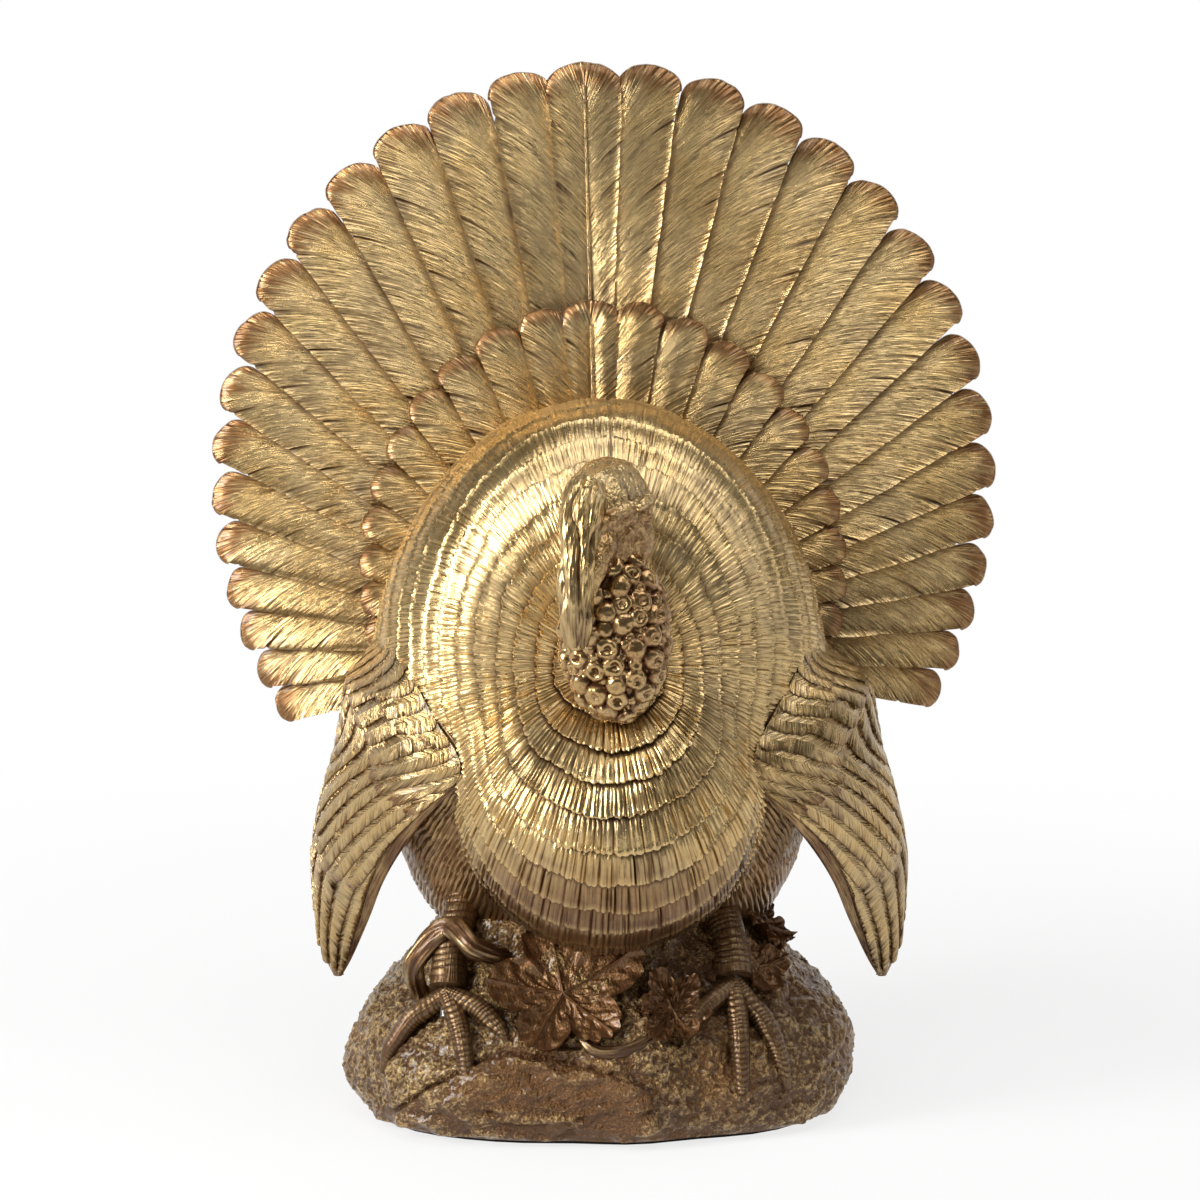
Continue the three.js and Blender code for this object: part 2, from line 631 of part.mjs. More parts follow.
function snoodForm(grow) {
  const root = vector(CROWN_BUMP.x - SNOOD_RADIUS, CROWN_BUMP.y - CROWN_BUMP.halfDepth * 0.5,
    CROWN_BUMP.z + CROWN_BUMP.halfHeight * 0.75);
  const shoulder = root.clone().add(vector(-SNOOD_RADIUS * 0.6, -SNOOD_RADIUS * 1.5, -SNOOD_LENGTH * 0.2));
  const waist = root.clone().add(vector(-SNOOD_RADIUS * 1.1, -SNOOD_RADIUS * 2.6, -SNOOD_LENGTH * 0.6));
  const tip = root.clone().add(vector(-SNOOD_RADIUS, -SNOOD_RADIUS * 2.6, -SNOOD_LENGTH));
  const radii = [0.7, 1, 0.85, 0.8, 0.45].map((share) => share * SNOOD_RADIUS + grow);
  return limb([root, shoulder, waist, tip], radii, 10, 9, 0.8);
}

// Caruncles spread evenly over the front of the wattle, along a golden spiral
function wattleForm() {
  const goldenAngle = HALF_TURN * (3 - Math.sqrt(5));
  let made = ellipsoid(WATTLE, 0, HEAD_FACETS, HEAD_RINGS);
  for (let i = 0; i < CARUNCLE_COUNT; i++) {
    const share = (i + 0.5) / CARUNCLE_COUNT;
    const up = 1 - 2 * share;
    const round = Math.sqrt(1 - up * up);
    const angle = i * goldenAngle;
    const y = round * Math.sin(angle);
    if (y > 0.5) continue;
    const size = CARUNCLE_RADIUS * (0.8 + 0.35 * Math.abs(Math.sin(i * 2.3)));
    const bump = new THREE.IcosahedronGeometry(size, 0).translate(
      WATTLE.x + WATTLE.halfWidth * round * Math.cos(angle),
      WATTLE.y + WATTLE.halfDepth * y,
      WATTLE.z + WATTLE.halfHeight * up);
    made = made.add(solidFrom(bump));
  }
  return made;
}

// Legs
function shankPath(side) {
  const place = side < 0 ? ANKLE_LEFT : ANKLE_RIGHT;
  const ankle = onRock(place.x, place.y).add(vector(0, 0, ANKLE_LIFT));
  const knee = vector(place.x - side * SHANK_RADIUS, place.y + THIGH_SINK, THIGH.z - THIGH.halfHeight / 2);
  const bend = vector((side * SHANK_RADIUS) / 4, -SHANK_RADIUS / 3, 0);
  return [knee, knee.clone().lerp(ankle, 0.55).add(bend), ankle];
}

function toeForm(side, { headingDeg, reachShare }, grow) {
  const ankle = shankPath(side)[2];
  const heading = radians(side * headingDeg);
  const points = [0, 0.4, 0.75, 1].map((share) => {
    const reach = share * reachShare * TOE_LENGTH;
    const x = ankle.x + Math.sin(heading) * reach;
    const y = ankle.y - Math.cos(heading) * reach;
    const lift = THREE.MathUtils.lerp(ANKLE_LIFT / 2, CLAW_RADIUS, share);
    return vector(x, y, rockTop(x, y) + lift);
  });
  const radii = [1, 0.95, 0.85, 0.75, CLAW_RADIUS / TOE_RADIUS].map((share) => share * TOE_RADIUS + grow);
  return limb(points, radii, 7, 5);
}

function legForm(side, grow) {
  const shank = limb(shankPath(side), [1, 0.95, 1.05].map((share) => share * SHANK_RADIUS + grow), 10, 5);
  const toes = side < 0 ? TOES_LEFT : TOES_RIGHT;
  return toes.reduce((made, toe) => made.add(toeForm(side, toe, grow)), shank);
}

// Leaves: lobed plates that lean on the rock
function leafForm(leaf, grow = 0) {
  const centre = onRock(leaf.x, leaf.y);
  const normal = rockNormal(leaf.x, leaf.y);
  const turnToSlope = new THREE.Quaternion().setFromUnitVectors(vector(0, 0, 1), normal);
  const around = leaf.lobes * 4;
  const rows = [0.5, 1];
  const faces = [];
  const backs = [];
  for (let i = 0; i <= around; i++) {
    const angle = (i / around) * TURN + radians(leaf.turnDeg);
    const lobe = Math.abs(Math.cos((leaf.lobes * (i / around) * TURN) / 2));
    const reach = leaf.radius * (1 - LEAF_LOBE_SHARE + LEAF_LOBE_SHARE * lobe) + grow;
    const face = [];
    const back = [];
    for (const row of rows) {
      const lift = LEAF_CUP * row * row + LEAF_THICKNESS * (0.3 + 0.25 * lobe * (1 - row)) + grow;
      const flat = vector(reach * row * Math.cos(angle), reach * row * Math.sin(angle), lift);
      face.push(flat.clone().applyQuaternion(turnToSlope).add(centre));
      back.push(flat.clone().setZ(lift - LEAF_THICKNESS - LEAF_CUP).applyQuaternion(turnToSlope).add(centre));
    }
    faces.push(face);
    backs.push(back);
  }
  return ringSlab(faces, backs, centre.clone().addScaledVector(normal, LEAF_THICKNESS * 0.3),
    centre.clone().addScaledVector(normal, -LEAF_THICKNESS - LEAF_CUP));
}

// A round slab: its grids close on themselves, and a point fills the middle of each side
function ringSlab(faces, backs, topCentre, bottomCentre) {
  const rings = [];
  const rows = faces[0].length;
  const open = (grid) => grid.slice(0, -1);
  for (let r = 0; r < rows; r++) rings.push(open(faces).map((column) => column[r]));
  for (let r = rows - 1; r >= 0; r--) rings.push(open(backs).map((column) => column[r]));
  return loftBetween(rings, topCentre, bottomCentre);
}

function loftBetween(rings, first, last) {
  const shrink = (ring, centre) => ring.map((p) => p.clone().lerp(centre, 0.98));
  return loft([shrink(rings[0], first), ...rings, shrink(rings[rings.length - 1], last)]);
}

// Vines
function vineArch() {
  const [, , ankle] = shankPath(-1);
  const reach = SHANK_RADIUS + VINE_RADIUS;
  const crest = ankle.clone().add(vector(0, SHANK_RADIUS, 2 * reach));
  const outer = onRock(ankle.x - reach, ankle.y + reach);
  const inner = onRock(ankle.x + 2 * reach, ankle.y + VINE_RADIUS);
  const points = [
    outer,
    vector(outer.x - VINE_RADIUS / 2, outer.y - VINE_RADIUS, (outer.z + crest.z) / 2),
    crest,
    vector(ankle.x + reach, ankle.y - VINE_RADIUS, (inner.z + crest.z) / 2),
    inner,
  ];
  return limb(points, [0.9, 1.1, 1.2, 1, 0.8].map((share) => share * VINE_RADIUS), 10, 14);
}

function tendril() {
  const middle = (LARGE_LEAF.x + SMALL_LEAF.x) / 2;
  const lift = TENDRIL_RADIUS / 2;
  const low = (LARGE_LEAF.y + SMALL_LEAF.y) / 2 - TENDRIL_SAG;
  const places = [
    [middle - TENDRIL_HALF_SPAN, low + TENDRIL_SAG / 3], [middle - TENDRIL_HALF_SPAN / 2, low - TENDRIL_SAG / 8],
    [middle + TENDRIL_HALF_SPAN / 4, low - TENDRIL_SAG / 6], [middle + TENDRIL_HALF_SPAN, low + TENDRIL_SAG / 4],
  ];
  const points = places.map(([x, y]) => onRock(x, y).add(vector(0, 0, lift)));
  return limb(points, [0.5, 1, 1.1, 0.9, 0.5].map((share) => share * TENDRIL_RADIUS), 8, 12);
}

// Assembly
const turkey = new THREE.Group();

// A mesh whose own origin is the place where it sits
function addMesh(parent, name, solid, material, seat = vector(0, 0, 0)) {
  const mesh = new THREE.Mesh(geometryFrom(largest(solid)).translate(-seat.x, -seat.y, -seat.z), material);
  mesh.name = name;
  mesh.position.copy(seat);
  parent.add(mesh);
}

function addPin(parent, pin) {
  addMesh(parent, pin.name, rodSolid(pin.from, pin.to, pin.radius), steel, pin.from);
}

const withoutPins = (solid, pins) => pins.reduce((made, pin) => made.subtract(pinHole(pin)), solid);

const rockCutter = rockForm(GLUE_GAP);
const bodyCutter = bodyForm(GLUE_GAP);
const wingPins = [-1, 1].map(wingPin);
const legPins = [-1, 1].map(legPin);
const rumpPins = [-1, 1].map(rumpPin);
const pinsIntoBody = [...wingPins, neckPin(), ...rumpPins.map(inWorld), ...tailPins().map(inWorld)];

const rearHollow = bodyForm(-BODY_WALL, HOLLOW_FACETS, HOLLOW_FACETS / 2).subtract(behindTail(BODY_REAR_WALL));
const body = bodyForm(0).subtract(rearHollow).subtract(behindTail(0)).subtract(rockCutter);
addMesh(turkey, "body", withoutPins(body, pinsIntoBody), gilt, spot(HEART));

const slotDepth = OVERRUN + GLUE_GAP - FAN_BACK;
const fanSlot = fromTail(new THREE.BoxGeometry(2 * FAN.halfWidth, 2 * FAN.halfHeight, slotDepth)
  .translate(0, FAN.halfHeight - TAIL_HUB_RADIUS - GLUE_GAP, OVERRUN - slotDepth / 2));
const rump = ellipsoid(RUMP, 0, RUMP_FACETS, RUMP_RINGS).intersect(behindTail(-GLUE_GAP))
  .subtract(fanSlot).subtract(rockCutter);
addMesh(turkey, "rump", withoutPins(rump, rumpPins.map(inWorld)), gilt);

addMesh(turkey, "rock_base", withoutPins(rockForm().subtract(rockHollow()), legPins), rockGilt);
addMesh(turkey, "felt_sheet", feltSheet(), felt);

for (const side of [-1, 1]) {
  const hand = side < 0 ? "left" : "right";
  const pin = side < 0 ? 0 : 1;
  const wing = wingForm(side).subtract(bodyCutter).subtract(behindTail(0));
  addMesh(turkey, `wing_${hand}`, withoutPins(wing, [wingPins[pin]]), gilt, wingPins[pin].from);
  const leg = legForm(side, 0).subtract(rockCutter).subtract(bodyCutter);
  addMesh(turkey, `leg_${hand}`, withoutPins(leg, [legPins[pin]]), giltBrown, shankPath(side)[2]);
}

const head = headForm(0).subtract(bodyCutter);
addMesh(turkey, "head", withoutPins(head, [neckPin()]), gilt, spot(SKULL));
addMesh(turkey, "snood", snoodForm(0).subtract(headForm(GLUE_GAP)), gilt, spot(CROWN_BUMP));
const wattle = wattleForm().subtract(headForm(GLUE_GAP)).subtract(snoodForm(GLUE_GAP)).subtract(bodyCutter);
addMesh(turkey, "wattle", wattle, giltBrown, spot(WATTLE));

const legCutters = [-1, 1].map((side) => legForm(side, GLUE_GAP));
const clearOfFeet = (solid) => legCutters.reduce((made, cutter) => made.subtract(cutter), solid.subtract(rockCutter));
const leaves = [
  ["leaf_large", LARGE_LEAF],
  ["leaf_small", SMALL_LEAF],
  ["leaf_side", SIDE_LEAF],
  ["leaf_foot", FOOT_LEAF],
];
leaves.forEach(([name, leaf], i) => {
  const laid = leaves.slice(0, i).reduce((made, [, under]) => made.subtract(leafForm(under, GLUE_GAP)), leafForm(leaf));
  addMesh(turkey, name, clearOfFeet(laid).subtract(bodyCutter), giltBrown, onRock(leaf.x, leaf.y));
});
const clearOfLeaves = (solid) => leaves.reduce((made, [, leaf]) => made.subtract(leafForm(leaf, GLUE_GAP)), solid);
addMesh(turkey, "vine_arch", clearOfLeaves(clearOfFeet(vineArch())).subtract(bodyCutter), giltBrown);
addMesh(turkey, "vine_tendril", clearOfLeaves(clearOfFeet(tendril())), giltBrown);

addMesh(tail, "tail_coverts", tailPlate(COVERTS, COVERTS_FRONT, 0), gilt);
addMesh(tail, "tail_fan", tailPlate(FAN, FAN_FRONT, TAIL_HUB_PROUD), gilt);
[...tailPins(), ...rumpPins].forEach((pin) => addPin(tail, pin));
[...wingPins, neckPin(), ...legPins].forEach((pin) => addPin(turkey, pin));
turkey.add(tail);

export default turkey;
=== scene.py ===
import itertools
import math
from typing import NamedTuple

import bpy
import numpy as np
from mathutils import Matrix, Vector


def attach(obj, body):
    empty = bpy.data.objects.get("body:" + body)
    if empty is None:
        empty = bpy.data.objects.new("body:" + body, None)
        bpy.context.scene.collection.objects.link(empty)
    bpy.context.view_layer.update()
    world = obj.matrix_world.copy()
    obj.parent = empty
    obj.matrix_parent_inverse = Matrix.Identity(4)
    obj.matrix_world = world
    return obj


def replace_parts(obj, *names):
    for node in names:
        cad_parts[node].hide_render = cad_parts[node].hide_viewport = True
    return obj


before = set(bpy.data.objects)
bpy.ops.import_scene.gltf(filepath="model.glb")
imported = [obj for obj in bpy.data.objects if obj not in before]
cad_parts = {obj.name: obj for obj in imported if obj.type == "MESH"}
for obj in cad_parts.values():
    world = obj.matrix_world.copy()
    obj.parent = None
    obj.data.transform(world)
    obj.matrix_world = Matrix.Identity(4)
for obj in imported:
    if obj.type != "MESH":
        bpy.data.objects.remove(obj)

bl_info = {
    "name": "Gilded turkey figure",
    "version": (1, 0, 0),
    "blender": (4, 5, 0),
    "location": "View3D > Sidebar > Turkey",
    "description": "Dresses the packed turkey figure with relief feathers, gold leaf and brown glaze",
    "category": "Object",
}

# Shape functions work in millimetres, and make_piece turns them into metres
MM = 0.001
UP = np.array([0.0, 0.0, 1.0])
CREASE = math.radians(48)  # a sharper fold than this stays an edge

# Tail: the hub's place, its lean back from upright, its roll to the left and the way that its face looks
TAIL_HUB = np.array([0.0, 34.0, 170.0])
TAIL_LEAN = math.radians(5)
TAIL_ROLL = math.radians(1.6)
TAIL_FACE = np.array([0.0, -math.cos(TAIL_LEAN), math.sin(TAIL_LEAN)])

# Body: ellipsoids, each a centre and its half sizes, which melt into each other as seen from the heart
HEART = np.array([0.0, -8.0, 140.0])
MANTLE = (np.array([0.0, 8.0, 160.0]), np.array([88.0, 80.0, 113.0]))
BREAST = (np.array([4.0, -50.0, 129.0]), np.array([55.0, 55.0, 57.0]))
RUMP = (np.array([0.0, 26.0, 138.0]), np.array([84.0, 56.0, 74.0]))
THIGHS = [(np.array([side * 35.0, -3.0, 117.0]), np.array([42.0, 42.0, 58.0])) for side in (-1, 1)]
BLEND_POWER = 16
BODY_CUT = 4  # how deep the body's rear edge reaches into the coverts
RUMP_CUT = 2
HAIR_STRANDS = 200  # strands of hair round the body

# The rows of body feathers run round the line from the heart to the neck
NECK_SPOT = np.array([4.0, -85.0, 195.0])
FIRST_ROW = math.radians(9)
ROW_LINE_SHARES = np.array([0, 0.07, 0.2, 0.38, 0.56, 0.74, 0.88, 0.96, 1])
BODY_SPLIT_ROWS = (0, 8, 15, 22)  # the pieces of body feathers meet under these rows' edges
FORM_ROWS = BODY_SPLIT_ROWS[-1]
CAP_STEPS = 12  # from the last row to the end of the form
LIP_HEIGHT = 0.7  # the thicker edge of a row
HAIR_HEIGHT = 0.9
DENT_HEIGHT, DENT_SIZE = 0.9, 19  # wide shallow dents all over the body


# Numbers
def ramp(low, high, value):
    """0 below low, 1 above high, and a smooth ramp between them."""
    share = np.clip((value - low) / (high - low), 0, 1)
    return share * share * (3 - 2 * share)


def hump(distance, width):
    """1 where distance is 0, fading softly within width."""
    return np.exp(-(distance / width) ** 2)


def crest(wave):
    """1 where a wave passes through zero, and down to -1 away from there: thin sharp crests."""
    return 1 - 2 * np.minimum(np.abs(wave) * 1.7, 1)


def backs(phase):
    """Round backs side by side, from -1 in the grooves between them to 1 on top."""
    return 2 * np.abs(np.sin(phase)) ** 0.7 - 1


def positive(value):
    """A value, or 0 where it is negative."""
    return np.maximum(0, value)


def share_of(value):
    """A value kept between 0 and 1."""
    return np.clip(value, 0, 1)


def wander(places, size, rng):
    """A crooked line: random values from -1 to 1 about every size, joined by straight stretches."""
    knots = np.arange(places.min() - size, places.max() + 2 * size, size)
    knots = knots + rng.uniform(-0.3, 0.3, len(knots)) * size
    return np.interp(places, knots, rng.uniform(-1, 1, len(knots)))


def strands(places, width, rng):
    """Round strands side by side on a closed line, each with its own width and height."""
    count = max(3, round(np.ptp(places) / width))
    knots = np.append(0, np.cumsum(rng.uniform(0.55, 1.45, count)))
    phase = np.interp(places, places.min() + knots / knots[-1] * np.ptp(places), np.arange(count + 1))
    tall = rng.uniform(0.45, 1, count + 1)[np.floor(phase).astype(int)]
    return tall * backs(math.pi * phase)


def lattice(cells, seed):
    """A repeatable random value from -1 to 1 for each whole-numbered cell."""
    mixed = (cells[..., 0] * 73856093) ^ (cells[..., 1] * 19349663) ^ (cells[..., 2] * 83492791)
    mixed = (mixed ^ (seed * 40503)) & 0x7FFFFFFF
    mixed = ((mixed ^ (mixed >> 13)) * 1274126177) & 0x7FFFFFFF
    mixed = mixed ^ (mixed >> 16)
    return (mixed & 0xFFFF) / 32767.5 - 1


def cloud(points, size, seed):
    """Smooth noise from -1 to 1 with lumps about as large as size."""
    scaled = points / size
    cell = np.floor(scaled).astype(np.int64)
    part = scaled - cell
    part = part * part * (3 - 2 * part)
    total = 0
    for corner in itertools.product((0, 1), repeat=3):
        weight = np.prod(np.where(corner, part, 1 - part), axis=-1)
        total = total + weight * lattice(cell + np.array(corner), seed)
    return total


def rough(points, size, seed, octaves=4):
    """Clouds of several sizes laid over each other."""
    return sum(cloud(points, size / 2 ** i, seed + i) / 2 ** i for i in range(octaves))


def unit(vectors):
    """The same directions with length one."""
    return vectors / np.linalg.norm(vectors, axis=-1, keepdims=True)


def xyz(x, y, z):
    """Points from coordinates whose shapes fit each other."""
    return np.stack(np.broadcast_arrays(x, y, z), -1)


def full_turn(count):
    """Angles spread evenly all the way round."""
    return np.linspace(0, 2 * math.pi, count, endpoint=False)


def sphere(rows, around, start):
    """Points of a sphere of radius one in rings, which start at an angle from its pole."""
    polar = np.linspace(start, math.pi - start, rows)[:, None]
    turn = full_turn(around)
    return xyz(np.sin(polar) * np.cos(turn), np.sin(polar) * np.sin(turn), np.cos(polar))


# Parts: points, faces and the values that the materials read, before they become a Blender mesh
def signed_volume(points, faces):
    """Volume inside the faces, negative when they point inwards."""
    a, b, c = (points[faces[:, i]] for i in range(3))
    return np.einsum("ij,ij->", a, np.cross(b, c)) / 6


def loft(rings, **values):
    """A closed part through rings (rows, around, 3), with a point in the middle of each end.

    The values are spread over the rings, and the cavity is kept between 0 and 1."""
    rows, around = rings.shape[:2]
    points = np.concatenate([rings.reshape(-1, 3), rings[0].mean(0)[None], rings[-1].mean(0)[None]])
    index = np.arange(rows * around).reshape(rows, around)
    here, ahead = index[:-1], index[1:]
    quads = np.stack([here, np.roll(here, -1, 1), np.roll(ahead, -1, 1), ahead], -1).reshape(-1, 4)
    first, last = index[0], index[-1]
    near = np.stack([np.roll(first, -1), first, np.full(around, rows * around)], -1)
    far = np.stack([last, np.roll(last, -1), np.full(around, rows * around + 1)], -1)
    tris = np.concatenate([near, far])
    halves = np.concatenate([quads[:, [0, 1, 2]], quads[:, [0, 2, 3]], tris])
    if signed_volume(points, halves) < 0:
        quads, tris = quads[:, ::-1], tris[:, ::-1]
    spread = {}
    for name, value in values.items():
        if name != "grain":
            value = np.broadcast_to(value, (rows, around))
        flat = value.reshape(rows * around, -1)
        if name == "cavity":
            flat = share_of(flat)
        spread[name] = np.concatenate([flat, flat[:around].mean(0)[None], flat[-around:].mean(0)[None]])
    return {"points": points, "quads": quads, "tris": tris, "values": spread}


def joined(parts):
    """Several parts as one."""
    starts = np.cumsum([0] + [len(part["points"]) for part in parts])
    whole = {kind: np.concatenate([part[kind] + start for part, start in zip(parts, starts)])
             for kind in ("quads", "tris")}
    whole["points"] = np.concatenate([part["points"] for part in parts])
    whole["values"] = {name: np.concatenate([part["values"][name] for part in parts])
                       for name in parts[0]["values"]}
    return whole


def chosen(name, mesh):
    """A new object in the scene for a mesh, the only one that is selected."""
    thing = bpy.data.objects.new(name, mesh)
    bpy.context.scene.collection.objects.link(thing)
    bpy.ops.object.select_all(action="DESELECT")
    thing.select_set(True)
    bpy.context.view_layer.objects.active = thing
    return thing


def make_piece(name, parts, material, slot, *replaced):
    """A Blender mesh from parts, which rides on the figure and stands for its plain solids."""
    whole = joined(parts)
    mesh = bpy.data.meshes.new(name)
    loops = np.concatenate([whole["quads"].ravel(), whole["tris"].ravel()]).astype(np.int32)
    quads, tris = len(whole["quads"]), len(whole["tris"])
    starts = np.append(np.arange(quads) * 4, quads * 4 + np.arange(tris) * 3).astype(np.int32)
    mesh.vertices.add(len(whole["points"]))
    mesh.vertices.foreach_set("co", (whole["points"] * MM).astype(np.float32).ravel())
    mesh.loops.add(len(loops))
    mesh.loops.foreach_set("vertex_index", loops)
    mesh.polygons.add(quads + tris)
    mesh.polygons.foreach_set("loop_start", starts)
    mesh.update(calc_edges=True)
    if mesh.validate():
        raise RuntimeError(f"{name} had faces that Blender refused")
    for title, value in whole["values"].items():
        vector = value.shape[-1] == 3
        attribute = mesh.attributes.new(title, "FLOAT_VECTOR" if vector else "FLOAT", "POINT")
        attribute.data.foreach_set("vector" if vector else "value", value.astype(np.float32).ravel())
    mesh.materials.append(material)
    piece = chosen(name, mesh)
    bpy.ops.object.shade_smooth_by_angle(angle=CREASE)
    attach(piece, "root")
    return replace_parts(piece, *replaced)


# Tail
def in_tail(across, along, height):
    """A point of the leaning tail: across it, up along it and in front of its hub's face."""
    rear = along * math.sin(TAIL_LEAN) - height * math.cos(TAIL_LEAN)
    rise = along * math.cos(TAIL_LEAN) + height * math.sin(TAIL_LEAN)
    return TAIL_HUB + xyz(across, rear, rise)


class TailPlate(NamedTuple):
    """The measures of one ring of tail feathers."""

    count: int
    half_sweep: float  # in degrees, from the middle feather to the last one
    centre: tuple  # of the ellipse that the tips reach
    half: tuple
    root: float  # radius where the feathers start
    level: float  # of the front, over the hub's face
    thickness: float
    step: float  # from a feather down to its neighbour
    crown: float
    curl: float  # how far the tips bow back
    frill: float
    rusty: float  # how far the rust reaches from the tips

    def spacing(self):
        """The angle from a feather to the next."""
        return 2 * math.radians(self.half_sweep) / (self.count - 1)

    def length(self, angle):
        """How far a feather at an angle from straight up reaches."""
        heading = np.array([math.sin(angle), math.cos(angle)]) / self.half
        centre = np.array(self.centre) / self.half
        a, b = heading @ heading, heading @ centre
        return (b + math.sqrt(b * b - a * (centre @ centre - 1))) / a


FAN = TailPlate(
    count=31, half_sweep=98.4, centre=(1.5, 66.5), half=(155, 166.5), root=26, level=-10.2,
    thickness=3.6, step=2.2, crown=0.4, curl=9, frill=0.25, rusty=13)
COVERTS = TailPlate(
    count=25, half_sweep=100, centre=(1, 31), half=(96, 108), root=26, level=-3.6,
    thickness=3.2, step=1.6, crown=1.2, curl=1.5, frill=0.5, rusty=7)

# Where the mesh's lines lie between a vane's inner edge and its free edge, in front and behind
VANE_SHARES = np.array([0, 0.07, 0.19, 0.35, 0.51, 0.67, 0.81, 0.91, 0.97, 1])
VANE_BACK_SHARES = np.array([1, 0.62, 0.52, 0.42, 0])
VANE_TUCK = 1.4  # how far a vane reaches under its neighbour
NOTCH_SHARE = 0.66  # of half a tip's width
QUILL_SHARE = 0.52  # where the quill lies behind, as a share of the width
QUILL_HEIGHT = 1.1
BARB_SPACING = 0.57  # between the mesh's rows, which follow the barbs
BARB_SIZES = (0.8, 2.9)
BARB_HEIGHT = 0.45
BARB_LAG_SHARE = 0.95  # how far a barb's inner end lies behind its outer end, as a share of the width
SPLIT_GAP = 17  # about one split of the barbs in this length
EDGE_SIZES = (2.6, 6, 13, 11)  # lengths of the frill, of its slower wave, and of the edge's sway and swell
TIP_DROP = 1.1


